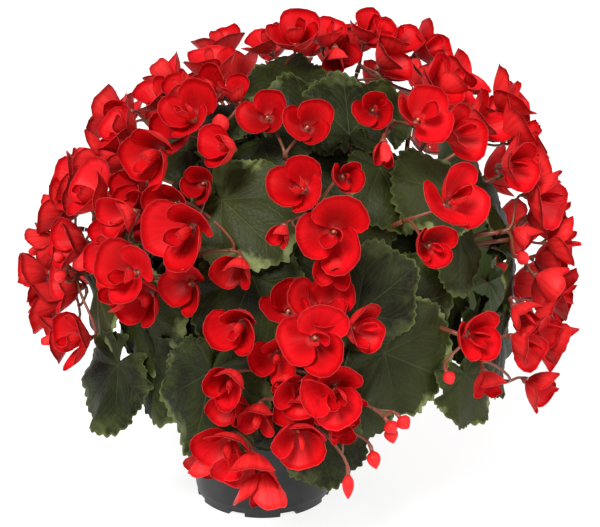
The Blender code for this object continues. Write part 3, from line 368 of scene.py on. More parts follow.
# Leaves of the back: rows at even steps of the turn, each leaf moved a little by a draw
def backLeaves():
    chance = np.random.default_rng(bell["seed"])
    leaves = []
    for row, (climb, number, first, step, length) in enumerate(backLeafRows):
        for index in range(number):
            turn = first + index * step + drawShift(chance, backShape["turnShift"])
            clock = backShape["leafClock"] + drawShift(chance, backShape["leafClockShift"])
            layer = row % 2 + 2 * (index % 2)
            leafClimb = climb + drawShift(chance, backShape["leafClimbShift"])
            leaves.append((turn, leafClimb, clock, length, layer, 0))
    return leaves


# Sprays of the back: three blooms each, one above and two lower down at its sides
def backSprays():
    shape = backShape
    chance = np.random.default_rng(bell["seed"] + 1)
    sprays = []
    for climb, number, first, step, width in backSprayRows:
        for index in range(number):
            turn = first + index * step + drawShift(chance, shape["turnShift"])
            lower = climb - shape["sidesBelow"] + drawShift(chance, shape["sprayClimbShift"])
            upper = climb + shape["topAbove"] + drawShift(chance, shape["sprayClimbShift"])
            apart = shape["sidesApart"] / np.cos(np.radians(max(climb, 0)))
            left, right = turn - apart, turn + apart
            sprays.append([
                (turn, upper, 5, turn, upper + shape["topFacing"], width, 0.8, 0, 3, 1),
                (left, lower, 2, left - shape["sidesApart"], lower, width, 0.8, 30, 3, 1),
                (right, lower + shape["lastHigher"], 3, right + shape["sidesApart"], lower,
                 width - shape["lastNarrower"], 0.7, 60, 3, 0),
            ])
    return sprays


# Filling blooms of the back: one beside each spray's top bloom, for most towards the back's middle, and one
# under it
def backFilling():
    shape = backShape
    filling = []
    for number, rows in enumerate(backSprays(), start=len(frontSprays) + 1):
        turn, upper, facing = rows[0][0], rows[0][1], rows[0][4]
        width = rows[0][5] - shape["fillNarrower"]
        way = 1 if turn < shape["fillTurnsBackFrom"] else -1
        beside = turn + way * shape["fillApart"] / np.cos(np.radians(max(upper, 0)))
        filling.append((number, (beside, upper - 1, 0, beside, facing, width, 0.8, 20, 3, 1)))
        filling.append((number, (turn, upper - shape["fillUnder"], -6, turn, upper - shape["fillUnderFacing"],
                                 width, 0.8, 50, 3, 0)))
    return filling


# Reach of the leaf at an angle: a level, plus shares of its cosine and of its double's cosine, less a notch
# at the back, and one side larger by a share of the sine
def leafReach(angle, length):
    level, forward, square = leafShape["body"]
    body = level + forward * np.cos(angle) + square * np.cos(2 * angle)
    notch = 1.0 - leafShape["notchDepth"] * np.exp(-((np.pi - np.abs(angle)) / leafShape["notch"]) ** 2)
    return length * body * notch * (1.0 + leafShape["lopsided"] * np.sin(angle))


# A leaf's point at an angle and a share of its reach: so far towards the tip by the cosine and to the side by
# the sine, drawn onto the bell, then raised by a sine wave of the angle and by the lift of the tip
def leafPoint(leaf, angle, share):
    turn, climb, clock, length, layer, lift = leaf
    length, lift, depth = length / 1000, lift / 1000, leafShape["layers"][layer]
    place, outward, upward, right = bellFrame(turn, climb, depth)
    tip = clockDirection(clock, upward, right)
    side = np.cross(outward, tip)
    reach = leafReach(angle, length) * share
    ahead, aside = reach * np.cos(angle), reach * np.sin(angle)
    flat = place + np.multiply.outer(ahead - leafShape["stalkEnd"] * length, tip)
    flat = flat + np.multiply.outer(aside, side)
    rise = leafShape["wave"] * np.sin(leafShape["waves"] * angle + turn) * share ** 2
    rise = rise + lift * np.maximum(ahead, 0.0) / length
    return ontoBell(flat, depth) + np.multiply.outer(rise, outward)


bloomShape = {
    "scale": 0.90,
    "lean": (42.0, 44.0),
    "curl": (58.0, -22.0),
    "halfWidth": (0.40, 0.20),
    "cup": 0.34,
    "reach": 0.90,
    "innerLength": 0.74,
    "innerWidth": 0.58,
    "innerLean": 18.0,
    "heart": 0.0028,
    "heartRing": 0.0014,
    "heartStep": 0.0030,
    "heartFoot": 0.0025,
    "pedicel": 0.0009,
    "fork": 0.0021,
    "forkLength": 0.0035,
    "forkRoot": 0.6,
    "forkDepth": -0.0165,
    "clearOfPetals": 0.004,
    "clearOfLeaves": 0.0025,
    "shifts": (0.0, 0.004, 0.008, 0.012, 0.016, 0.020),
    "ways": 12,
    "floor": -0.0155,
    "budShare": 0.7,
    "closeness": 0.88,
    "closenessInSpray": 0.84,
    "fillCloseness": 0.55,
    "sink": 0.12,
    "rounds": 60,
    "share": 0.3,
    "gap": 0.0003,
    "outline": (0.8, 0.55),
    "behind": -0.01,
}
outerCorners = (np.array([0.44, 0.90, 0.90, 0.44]), np.array([1.0, 1.0, -1.0, -1.0]))
innerCorners = (np.array([0.50, 1.0, 0.50]), np.array([1.0, 0.0, -1.0]))


# The way that a bloom faces, from the sines and cosines of its turn and climb, and two ways square to it
def bloomAxis(faceTurn, faceClimb):
    faceTurn, faceClimb = np.radians(faceTurn), np.radians(faceClimb)
    level = np.cos(faceClimb)
    axis = np.array([np.sin(faceTurn) * level, -np.cos(faceTurn) * level, np.sin(faceClimb)])
    upward = unit(np.array([0.0, 0.0, 1.0]) - axis[2] * axis)
    return axis, upward, np.cross(upward, axis)


# An arc that starts at the lean and turns by the curl: how far out, how far forward, and its angle
def petalCurve(along, lean, curl):
    now = lean - curl * along
    return (np.cos(now) - np.cos(lean)) / curl, (np.sin(lean) - np.sin(now)) / curl, now


# A petal's length, half width, lean and curl. The last three change evenly with the openness. Inner petals
# are smaller and lean less.
def petalSize(bloom, inner):
    opened = bloom["open"]
    length = (bloom["width"] / 2 - bloomShape["heart"] / 2) / bloomShape["reach"]
    lean = np.radians(bloomShape["lean"][0] + bloomShape["lean"][1] * opened)
    curl = np.radians(bloomShape["curl"][0] + bloomShape["curl"][1] * opened)
    half = length * (bloomShape["halfWidth"][0] + bloomShape["halfWidth"][1] * opened)
    if inner:
        length *= bloomShape["innerLength"]
        half *= bloomShape["innerWidth"]
        lean -= np.radians(bloomShape["innerLean"])
    return length, half, lean, curl


# Where a petal's corners are: along its arc, to the side by its half width times a power of a sine, and
# lifted by the square of how far across they are
def petalCorners(bloom, inner, angle):
    along, across = innerCorners if inner else outerCorners
    axis, upward, right = bloom["axes"]
    outward = np.cos(angle) * upward + np.sin(angle) * right
    length, half, lean, curl = petalSize(bloom, inner)
    foot = bloom["heart"] + bloomShape["heart"] / 2 * outward + bloomShape["heartRing"] / 2 * axis
    if inner:
        foot = foot + (bloomShape["heartRing"] + bloomShape["heartStep"]) * axis
    out, forward, now = petalCurve(along, lean, curl)
    crowding, fullness = bloomShape["outline"]
    spread = half * np.sin(np.pi * along ** crowding) ** fullness
    look = np.multiply.outer(-np.cos(now), outward) + np.multiply.outer(np.sin(now), axis)
    middle = foot + length * (np.multiply.outer(out, outward) + np.multiply.outer(forward, axis))
    lift = bloomShape["cup"] * across ** 2 * spread
    return middle + np.multiply.outer(across * spread, np.cross(axis, outward)) + lift[:, None] * look


def readBloom(row, fills=False):
    turn, climb, depth, faceTurn, faceClimb, width, opened, spin, outer, inner = row
    place, outward = bellFrame(turn, climb, depth / 1000)[:2]
    return {
        "heart": place, "outward": outward, "axes": bloomAxis(faceTurn, faceClimb),
        "width": width / 1000 * bloomShape["scale"], "open": opened, "spin": np.radians(spin),
        "outer": outer, "inner": inner, "fills": fills,
    }


# The points that a bloom reaches: its petals' corners, or both ends of a bud
def reachPoints(bloom):
    third, spin = 2 * np.pi / 3, bloom["spin"]
    corners = [petalCorners(bloom, False, spin + third * index) for index in range(bloom["outer"])]
    corners += [petalCorners(bloom, True, spin + third * (index + 0.5)) for index in range(bloom["inner"])]
    if not corners:
        return np.array([bloom["heart"], bloom["heart"] + bloom["width"] * bloom["axes"][0]])
    return np.vstack(corners)


# Moves each bloom outwards by as much as its deepest point lies under the floor
def liftOut(blooms):
    for bloom in blooms:
        low = depthOf(reachPoints(bloom)).min()
        bloom["heart"] = bloom["heart"] + max(bloomShape["floor"] - low, 0.0) * bloom["outward"]


# Blooms push each other apart until they clear, and out until they clear the leaves. When the filling ones
# are settled, the others stay, and less room is asked.
def settleBlooms(sprays, filling):
    blooms = [bloom for spray in sprays for bloom in spray]
    moves = np.array([bloom["fills"] == filling for bloom in blooms], float)
    owner = np.array([number for number, spray in enumerate(sprays) for bloom in spray])
    same = owner[:, None] == owner[None]
    allowed = np.where(same, bloomShape["closenessInSpray"], bloomShape["closeness"])
    allowed = allowed * (bloomShape["fillCloseness"] if filling else 1.0)
    moving = [bloom for bloom, moved in zip(blooms, moves) if moved]
    others = 1 - np.eye(len(blooms))
    shares = [1.0 if bloom["outer"] else bloomShape["budShare"] for bloom in blooms]
    radii = np.array([bloom["width"] / 2 * share for bloom, share in zip(blooms, shares)])
    for _ in range(bloomShape["rounds"]):
        liftOut(moving)
        centres = np.array([reachPoints(bloom).mean(axis=0) for bloom in blooms])
        apart = centres[:, None] - centres[None]
        distance = np.linalg.norm(apart, axis=2) + np.eye(len(blooms))
        short = np.maximum((radii[:, None] + radii[None]) * allowed - distance, 0.0) * others
        push = (apart / distance[..., None] * short[..., None]).sum(axis=1)
        push = push * bloomShape["share"] * moves[:, None]
        for bloom, shift in zip(blooms, push):
            bloom["heart"] = bloom["heart"] + shift
    liftOut(moving)


# The least distance from a place to a spray's petals and to the edges of leaves, less the clearance that each
# asks. Leaves that the place lies well behind don't count.
def roomAt(place, spray, leaves):
    petals = np.vstack([reachPoints(bloom) for bloom in spray if bloom["outer"]] + [spray[0]["heart"][None]])
    room = np.linalg.norm(petals - place, axis=1).min() - bloomShape["clearOfPetals"]
    for turn, climb, clock, length, layer, _ in leaves:
        middle, outward, upward, right = bellFrame(turn, climb, leafShape["layers"][layer])
        if (place - middle) @ outward < bloomShape["behind"]:
            continue
        tip = clockDirection(clock, upward, right)
        fromStalk = place - middle + leafShape["stalkEnd"] * length / 1000 * tip
        ahead, aside = fromStalk @ tip, fromStalk @ np.cross(outward, tip)
        edge = leafReach(np.arctan2(aside, ahead), length / 1000)
        room = min(room, np.hypot(ahead, aside) - edge - bloomShape["clearOfLeaves"])
    return room


# A spray's fork: tried in rings round the middle of its blooms, the first place with enough room, or else the
# one with the most
def forkPlace(spray, leaves):
    middle = ontoBell(np.mean([bloom["heart"] for bloom in spray], axis=0), bloomShape["forkDepth"])
    best = None
    for shift in bloomShape["shifts"]:
        for way in range(bloomShape["ways"] if shift else 1):
            angle = 2 * np.pi * way / bloomShape["ways"]
            away = unit(middle - np.array([bell["middle"], 0.0, min(middle[2], bell["shoulder"])]))
            right = unit(np.cross([0.0, 0.0, 1.0], away))
            step = shift * (np.cos(angle) * right + np.sin(angle) * np.cross(away, right))
            place = ontoBell(middle + step, bloomShape["forkDepth"])
            room = min(roomAt(place, spray, leaves), 0.0)
            if best is None or room > best[0]:
                best = (room, place)
    place = best[1]
    return place, unit(place - np.array([bell["middle"], 0.0, min(place[2], bell["shoulder"])]))


stemShape = {
    "stems": 8,
    "firstTurn": -158.0,
    "circle": 0.024,
    "foot": 0.0733,
    "knees": (0.097, 0.115, 0.145, 0.185),
    "top": 0.225,
    "radius": (0.0034, 0.0022),
    "spread": 0.038,
    "from": 0.100,
    "over": 0.090,
    "leanOver": 0.065,
    "stalks": (0.120, 0.222),
    "rise": 0.012,
    "leave": 0.35,
    "arrive": 0.30,
    "stalkRadius": 0.0015,
    "branchRadius": 0.0016,
    "straight": 0.008,
    "sides": 9,
    "seed": 100,
    "rings": 24,
    "stemSides": 12,
    "knobs": 0.05,
    "knobsPerMetre": 400,
    "stalkRings": 14,
    "stalkTaper": (1.15, 0.75),
    "branchTaper": (1.15, 0.85),
    "stemPink": (0.0, 0.05),
    "stalkPink": (0.05, 0.45),
    "branchPink": (0.1, 0.75),
    "underLeaf": 0.0004,
}


def stemTurn(index):
    return stemShape["firstTurn"] + index * 360.0 / stemShape["stems"]


# The stem stands on a circle, then leans out by a sine of its height and to the right with the whole plant
def stemCurve(index, height):
    turn = np.radians(stemTurn(index))
    rise = np.clip((height - stemShape["from"]) / stemShape["over"], 0.0, 1.0)
    radius = stemShape["circle"] + stemShape["spread"] * np.sin(rise * np.pi / 2)
    lean = bell["middle"] * np.clip((height - stemShape["from"]) / stemShape["leanOver"], 0.0, 1.0)
    return np.stack([lean + radius * np.sin(turn), -radius * np.cos(turn), height], axis=-1)


# A place on the stem at a height, straight between its knees
def stemPlace(index, height):
    knees = stemCurve(index, np.array([0.0, *stemShape["knees"], stemShape["top"]]))
    height = np.asarray(height, float)
    return np.stack([np.interp(height, knees[:, 2], knees[:, axis]) for axis in range(3)], axis=-1)


# The stem whose turn is nearest to a place's
def stemNear(place):
    turn = np.degrees(np.arctan2(place[0] - bell["middle"], -place[1]))
    turns = np.array([stemTurn(index) for index in range(stemShape["stems"])])
    return int(np.argmin(np.abs((turns - turn + 180) % 360 - 180)))


# A stalk's cubic curve: it leaves the stem outwards and rising, and arrives along the way that is given
def stalkPath(index, height, end, arrive, count):
    start = stemPlace(index, height)
    gap = np.linalg.norm(end - start)
    level = unit([end[0] - start[0], end[1] - start[1], 0.0])
    leave = stemShape["leave"] * gap * level + np.array([0.0, 0.0, stemShape["rise"]])
    return bezier(start, leave, stemShape["arrive"] * gap * unit(arrive), end, count)


# Faces of a grid of rows and columns; a round grid joins its last column to its first
def gridFaces(rows, columns, around):
    across = np.arange(columns if around else columns - 1)
    row, column = np.meshgrid(np.arange(rows - 1), across, indexing="ij")
    low, high, beside = row * columns, (row + 1) * columns, (column + 1) % columns
    return np.stack([low + column, low + beside, high + beside, high + column], axis=-1).reshape(-1, 4)


# Faces of a round grid with a cap at each end, all turned over where asked
def closedFaces(rows, columns, turned=False):
    first = np.arange(columns)[None]
    faces = [gridFaces(rows, columns, True), first[:, ::-1], first + (rows - 1) * columns]
    return [part[:, ::-1] for part in faces] if turned else faces


# Two like grids, front and back, joined by a rim round their edge
def shellFaces(rows, columns, around):
    front = gridFaces(rows, columns, around)
    count = rows * columns
    index = np.arange(count).reshape(rows, columns)
    loop = index[-1]
    if not around:
        loop = np.concatenate([index[0, ::-1], index[1:, 0], index[-1, 1:], index[-2:0:-1, -1]])
    rim = np.stack([loop, loop + count, np.roll(loop, -1) + count, np.roll(loop, -1)], axis=-1)
    return [front, front[:, ::-1] + count, rim]


# The way that each point of a grid looks: the cross product of its two slopes
def gridNormals(points, around):
    if around:
        padded = np.concatenate([points[:, -1:], points, points[:, :1]], axis=1)
        across = padded[:, 2:] - padded[:, :-2]
    else:
        across = np.gradient(points, axis=1)
    normals = np.cross(across, np.gradient(points, axis=0))
    return normals / np.maximum(np.linalg.norm(normals, axis=-1, keepdims=True), 1e-12)


# Front and back of a blade, each half a thickness off its middle. The front is on the side that it faces.
def thicken(points, facing, half, around):
    normals = gridNormals(points, around)
    normals *= np.sign((normals * facing).sum(axis=-1).mean())
    return np.stack([points + half * normals, points - half * normals])


# One value for a whole piece, or one for each of its points, as a row for each point
def forEachPoint(value, points):
    if np.ndim(value) > 1:
        return np.broadcast_to(value, points.shape).reshape(-1, 3)
    return np.tile(value, (points.reshape(-1, 3).shape[0], 1))


# Which of its piece's materials a block takes
mainSlot, stalkSlot, heartSlot = 0, 1, 2


# A block is a batch of points and faces with a material and two attributes: lie says where a point is on its
# surface, and tone what colour it tends to, for petals with a painted shade deep inside the plant
def block(points, faces, material, lie=(0.0, 0.0, 0.0), tone=(0.0, 0.0, 0.0)):
    return {
        "points": points.reshape(-1, 3), "faces": faces, "material": material,
        "lie": forEachPoint(lie, points), "tone": forEachPoint(tone, points),
    }


# One mesh from all the blocks of a piece
def makePiece(name, blocks, materials, node):
    points = np.vstack([one["points"] for one in blocks])
    corners, sizes, slots, start = [], [], [], 0
    for one in blocks:
        for faces in one["faces"]:
            corners.append((faces + start).reshape(-1))
            sizes.append(np.full(len(faces), faces.shape[1]))
            slots.append(np.full(len(faces), one["material"]))
        start += len(one["points"])
    corners, sizes, slots = (np.concatenate(part).astype(np.int32) for part in (corners, sizes, slots))
    mesh = bpy.data.meshes.new(name)
    mesh.vertices.add(len(points))
    mesh.vertices.foreach_set("co", points.astype(np.float32).reshape(-1))
    mesh.loops.add(len(corners))
    mesh.loops.foreach_set("vertex_index", corners)
    mesh.polygons.add(len(sizes))
    mesh.polygons.foreach_set("loop_start", np.concatenate([[0], np.cumsum(sizes)[:-1]]).astype(np.int32))
    mesh.polygons.foreach_set("material_index", slots)
    mesh.polygons.foreach_set("use_smooth", np.ones(len(sizes), bool))
    for label in ("lie", "tone"):
        values = np.vstack([one[label] for one in blocks]).astype(np.float32)
        attribute = mesh.attributes.new(label, "FLOAT_VECTOR", "POINT")
        attribute.data.foreach_set("vector", values.reshape(-1))
    mesh.update(calc_edges=True)
    mesh.validate()
    for material in materials:
        mesh.materials.append(material)
    piece = bpy.data.objects.new(name, mesh)
    bpy.context.scene.collection.objects.link(piece)
    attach(piece, "root")
    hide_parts(node)
    return piece


# Rings carried along a path, each turned as little as can be from the one before. The first is laid out
# across the path from a fixed direction.
def tubePoints(path, radii, sides):
    ahead = np.gradient(path, axis=0)
    ahead /= np.linalg.norm(ahead, axis=1, keepdims=True)
    across = unit(np.cross(ahead[0], [0.31, 0.95, 0.05]))
    angles = evenAngles(sides)
    rings = []
    for place, radius, forward in zip(path, radii, ahead):
        across = unit(across - (across @ forward) * forward)
        other = np.cross(forward, across)
        rings.append(place + radius * (np.outer(np.cos(angles), across) + np.outer(np.sin(angles), other)))
    return np.array(rings)


# A stalk or stem, with its share of pink from its start to its end
def tubeBlock(path, radii, sides, pink, chance):
    share = np.linspace(*pink, len(path))[:, None] * np.ones(sides)
    tone = np.stack([share, np.full_like(share, chance.uniform()), np.zeros_like(share)], axis=-1)
    return block(tubePoints(path, radii, sides), closedFaces(len(path), sides), stalkSlot, tone, tone)


def newMaterial(name, colour, look):
    material = bpy.data.materials.new(name)
    material.use_nodes = True
    shader = material.node_tree.nodes["Principled BSDF"]
    shader.inputs["Base Color"].default_value = (*colour, 1.0)
    shader.inputs["Roughness"].default_value = look["roughness"]
    shader.inputs["Specular IOR Level"].default_value = look["shine"]
    return material, material.node_tree, shader


def put(tree, kind, inputs=None, **settings):
    node = tree.nodes.new(kind)
    for name, value in settings.items():
        setattr(node, name, value)
    for name, value in (inputs or {}).items():
        socket = node.inputs[name]
        if isinstance(value, bpy.types.NodeSocket):
            tree.links.new(value, socket)
        else:
            socket.default_value = value
    return node


def calc(tree, operation, *values):
    return put(tree, "ShaderNodeMath", dict(enumerate(values)), operation=operation).outputs[0]


def times(tree, first, second):
    return calc(tree, "MULTIPLY", first, second)


def blendColours(tree, share, first, second):
    node = put(tree, "ShaderNodeMix", data_type="RGBA", blend_type="MIX")
    for socket, value in ((node.inputs[0], share), (node.inputs[6], first), (node.inputs[7], second)):
        if isinstance(value, bpy.types.NodeSocket):
            tree.links.new(value, socket)
        else:
            socket.default_value = (*value, 1.0) if isinstance(value, tuple) else value
    return node.outputs[2]


def spread(tree, value, low, high, newLow=0.0, newHigh=1.0, smooth=False):
    inputs = {"Value": value, "From Min": low, "From Max": high, "To Min": newLow, "To Max": newHigh}
    kind = "SMOOTHSTEP" if smooth else "LINEAR"
    return put(tree, "ShaderNodeMapRange", inputs, interpolation_type=kind, clamp=True).outputs["Result"]


def objectPlaces(tree):
    return put(tree, "ShaderNodeTexCoord").outputs["Object"]


def readAttribute(tree, name):
    attribute = put(tree, "ShaderNodeAttribute", attribute_name=name, attribute_type="GEOMETRY")
    parts = put(tree, "ShaderNodeSeparateXYZ", {"Vector": attribute.outputs["Vector"]})
    return parts.outputs[0], parts.outputs[1], parts.outputs[2]


def noise(tree, vector, scale, detail=3.0):
    return put(tree, "ShaderNodeTexNoise", {"Vector": vector, "Scale": scale, "Detail": detail}).outputs[0]


# Gives a surface its colour and its fine relief
def paint(tree, shader, colour, height, look):
    strength, distance = look["relief"]
    relief = put(tree, "ShaderNodeBump", {"Height": height, "Strength": strength, "Distance": distance})
    tree.links.new(colour, shader.inputs["Base Color"])
    tree.links.new(relief.outputs["Normal"], shader.inputs["Normal"])


petalLook = {
    # deep is the veins' dark red, and also a painted shade at the petals' bases and deep inside the plant
    "deep": (0.25, 0.0006, 0.0012),
    "face": (0.60, 0.0025, 0.005),
    "bright": (0.78, 0.006, 0.013),
    "back": (0.76, 0.024, 0.025),
    "rim": (0.86, 0.075, 0.085),
    "roughness": 0.50,
    "shine": 0.16,
    "patches": 90.0,
    "brightMost": 0.7,
    "veins": 9.0,
    "veinStretch": 0.12,
    "faceVeins": 0.18,
    "backVeins": 0.55,
    "rimFrom": 0.965,
    "rimMost": 0.55,
    "paintedShadeMost": 0.8,
    "relief": (0.25, 0.0004),
}


def petalMaterial():
    look = petalLook
    material, tree, shader = newMaterial("petalRed", look["face"], look)
    across, along = readAttribute(tree, "lie")[:2]
    front, chance, inside = readAttribute(tree, "tone")
    patches = noise(tree, objectPlaces(tree), look["patches"])
    # Painted shade: the face is darker towards the petal's base, in its bowl
    face = blendColours(tree, spread(tree, along, 0.1, 0.85, smooth=True), look["deep"], look["face"])
    lively = calc(tree, "ADD", times(tree, chance, 0.5), times(tree, patches, 0.5))
    face = blendColours(tree, spread(tree, lively, 0.35, 0.75, 0.0, look["brightMost"]), face, look["bright"])
    # Veins run along the fan: thin lines of a fine noise stretched along the petal
    stretched = times(tree, along, look["veinStretch"])
    fan = put(tree, "ShaderNodeCombineXYZ", {"X": across, "Y": stretched, "Z": chance})
    veins = spread(tree, noise(tree, fan.outputs[0], look["veins"], 4.0), 0.45, 0.62)
    face = blendColours(tree, times(tree, veins, look["faceVeins"]), face, look["deep"])
    back = blendColours(tree, times(tree, veins, look["backVeins"]), look["back"], look["face"])
    colour = blendColours(tree, front, back, face)
    edge = times(tree, spread(tree, along, look["rimFrom"], 1.0), look["rimMost"])
    colour = blendColours(tree, edge, colour, look["rim"])
    # Painted shade: petals deep inside the plant are darkened towards the deep red
    colour = blendColours(tree, times(tree, inside, look["paintedShadeMost"]), colour, look["deep"])
    paint(tree, shader, colour, veins, look)
    return material


leafLook = {
    "dark": (0.0060, 0.0075, 0.0012),
    "green": (0.021, 0.028, 0.0045),
    "olive": (0.050, 0.062, 0.013),
    "vein": (0.100, 0.125, 0.036),
    "edge": (0.120, 0.155, 0.035),
    "pale": (0.200, 0.240, 0.085),
    "under": (0.085, 0.125, 0.030),
    "roughness": 0.50,
    "shine": 0.14,
    "patches": 60.0,
    "mottles": 150.0,
    "bandMost": 0.75,
    "oliveMost": 0.55,
    "mainVeinWidth": (0.008, 0.026),
    "mainVeinEnd": 0.35,
    "sideVeins": 5.0,
    "sideVeinSlant": 2.6,
    "wanders": 120.0,
    "wanderMost": 0.9,
    "sideVeinWidth": 0.10,
    "sideVeinMost": 0.32,
    "cells": 300.0,
    "netWidth": 0.30,
    "netMost": 0.16,
    "topVeins": 0.42,
    "underVeins": 0.5,
    "edgeFrom": 0.955,
    "edgeMost": 0.55,
    "paleSpots": 45.0,
    "paleOutwards": 0.55,
    "paleShares": (0.15, 0.9),
    "grains": 900.0,
    "grainHeight": 0.35,
    "netHeight": 0.32,
    "relief": (0.6, 0.0006),
}


def leafMaterial():
    look = leafLook
    material, tree, shader = newMaterial("leafGreen", look["green"], look)
    places = objectPlaces(tree)
    share, chance = readAttribute(tree, "lie")[1:]
    front, near = readAttribute(tree, "tone")[:2]
    patches = noise(tree, places, look["patches"], 4.0)
    blade = blendColours(tree, spread(tree, patches, 0.35, 0.7), look["dark"], look["green"])
    # Each leaf has its own share of olive, and more of it in a broken band near the edge
    mottle = spread(tree, noise(tree, places, look["mottles"], 5.0), 0.48, 0.66)
    band = times(tree, spread(tree, share, 0.55, 0.98), times(tree, mottle, look["bandMost"]))
    olive = calc(tree, "MAXIMUM", spread(tree, chance, 0.45, 1.0, 0.0, look["oliveMost"]), band)
    blade = blendColours(tree, olive, blade, look["olive"])
    # A main vein shows where the angle to it times the share of the way out is small, and it fades outwards
    fading = spread(tree, share, 0.15, 1.0, 1.0, look["mainVeinEnd"])
    mainVein = times(tree, spread(tree, times(tree, near, share), *look["mainVeinWidth"], 1.0, 0.0), fading)
    # Side veins: lines of a sawtooth of the share less the angle to the main vein
    wander = calc(tree, "SUBTRACT", noise(tree, places, look["wanders"], 2.0), 0.5)
    wander = times(tree, wander, look["wanderMost"])
    slant = times(tree, near, look["sideVeinSlant"])
    climbing = calc(tree, "SUBTRACT", times(tree, share, look["sideVeins"]), slant)
    saw = calc(tree, "FRACT", calc(tree, "ADD", climbing, wander))
    offLine = calc(tree, "ABSOLUTE", calc(tree, "SUBTRACT", saw, 0.5))
    sideVein = times(tree, spread(tree, offLine, 0.0, look["sideVeinWidth"], 1.0, 0.0), look["sideVeinMost"])
    veins = calc(tree, "MAXIMUM", mainVein, sideVein)
    # The net of fine veins between them, from the edges of cells
    inputs = {"Vector": places, "Scale": look["cells"]}
    cells = put(tree, "ShaderNodeTexVoronoi", inputs, feature="DISTANCE_TO_EDGE")
    net = spread(tree, cells.outputs["Distance"], 0.0, look["netWidth"], 1.0, 0.0)
    blade = blendColours(tree, times(tree, net, look["netMost"]), blade, look["dark"])
    top = blendColours(tree, times(tree, veins, look["topVeins"]), blade, look["vein"])
    edge = times(tree, spread(tree, share, look["edgeFrom"], 1.0), look["edgeMost"])
    top = blendColours(tree, edge, top, look["edge"])
    # Broken pale edge: a coarse noise plus the share of the way out, on the leaves with more olive
    broken = noise(tree, places, look["paleSpots"], 6.0)
    broken = calc(tree, "ADD", broken, times(tree, share, look["paleOutwards"]))
    paleShare = spread(tree, chance, 0.35, 0.75, *look["paleShares"])
    pale = times(tree, spread(tree, broken, 1.02, 1.12), paleShare)
    top = blendColours(tree, pale, top, look["pale"])
    under = blendColours(tree, times(tree, veins, look["underVeins"]), look["under"], look["vein"])
    grain = times(tree, noise(tree, places, look["grains"], 2.0), look["grainHeight"])
    relief = calc(tree, "ADD", times(tree, veins, -1.0), grain)
    relief = calc(tree, "SUBTRACT", relief, times(tree, net, look["netHeight"]))
    paint(tree, shader, blendColours(tree, front, under, top), relief, look)
    return material


stalkLook = {
    "green": (0.060, 0.080, 0.020),
    "brown": (0.120, 0.035, 0.018),
    "pink": (0.240, 0.048, 0.026),
    "roughness": 0.42,
    "shine": 0.5,
    "streaks": 160.0,
    "relief": (0.2, 0.0004),
}


def stalkMaterial():
    look = stalkLook
    material, tree, shader = newMaterial("stalkRed", look["brown"], look)
    share = readAttribute(tree, "tone")[0]
    streaks = noise(tree, objectPlaces(tree), look["streaks"])
    low = blendColours(tree, spread(tree, streaks, 0.4, 0.6), look["green"], look["brown"])
    paint(tree, shader, blendColours(tree, share, low, look["pink"]), streaks, look)
    return material


heartLook = {
    "pale": (0.85, 0.36, 0.16),
    "red": (0.80, 0.14, 0.07),
    "roughness": 0.55,
    "shine": 0.4,
    "grains": 1400.0,
    "relief": (0.8, 0.0005),
}


def heartMaterial():
    look = heartLook
    material, tree, shader = newMaterial("heartPale", look["pale"], look)
    grains = noise(tree, objectPlaces(tree), look["grains"], 2.0)
    colour = blendColours(tree, spread(tree, grains, 0.4, 0.6), look["pale"], look["red"])
    paint(tree, shader, colour, grains, look)
    return material


petalRed = petalMaterial()
leafGreen = leafMaterial()
stalkRed = stalkMaterial()
heartPale = heartMaterial()
print("petal, leaf and stalk materials made")

leaves = frontLeaves + backLeaves()
allLeaves = leaves + fillLeaves
sprays = [[readBloom(row) for row in rows] for rows in frontSprays + backSprays()]
settleBlooms(sprays, False)
forks = [forkPlace(spray, leaves) for spray in sprays]
for number, row in fillBlooms + backFilling():
    sprays[number - 1].append(readBloom(row, True))
settleBlooms(sprays, True)
for spray in sprays:
    for bloom in spray:
        if bloom["outer"]:
            bloom["heart"] = bloom["heart"] - bloomShape["sink"] * bloom["width"] * bloom["axes"][0]
print("blooms settled:", sum(len(spray) for spray in sprays))


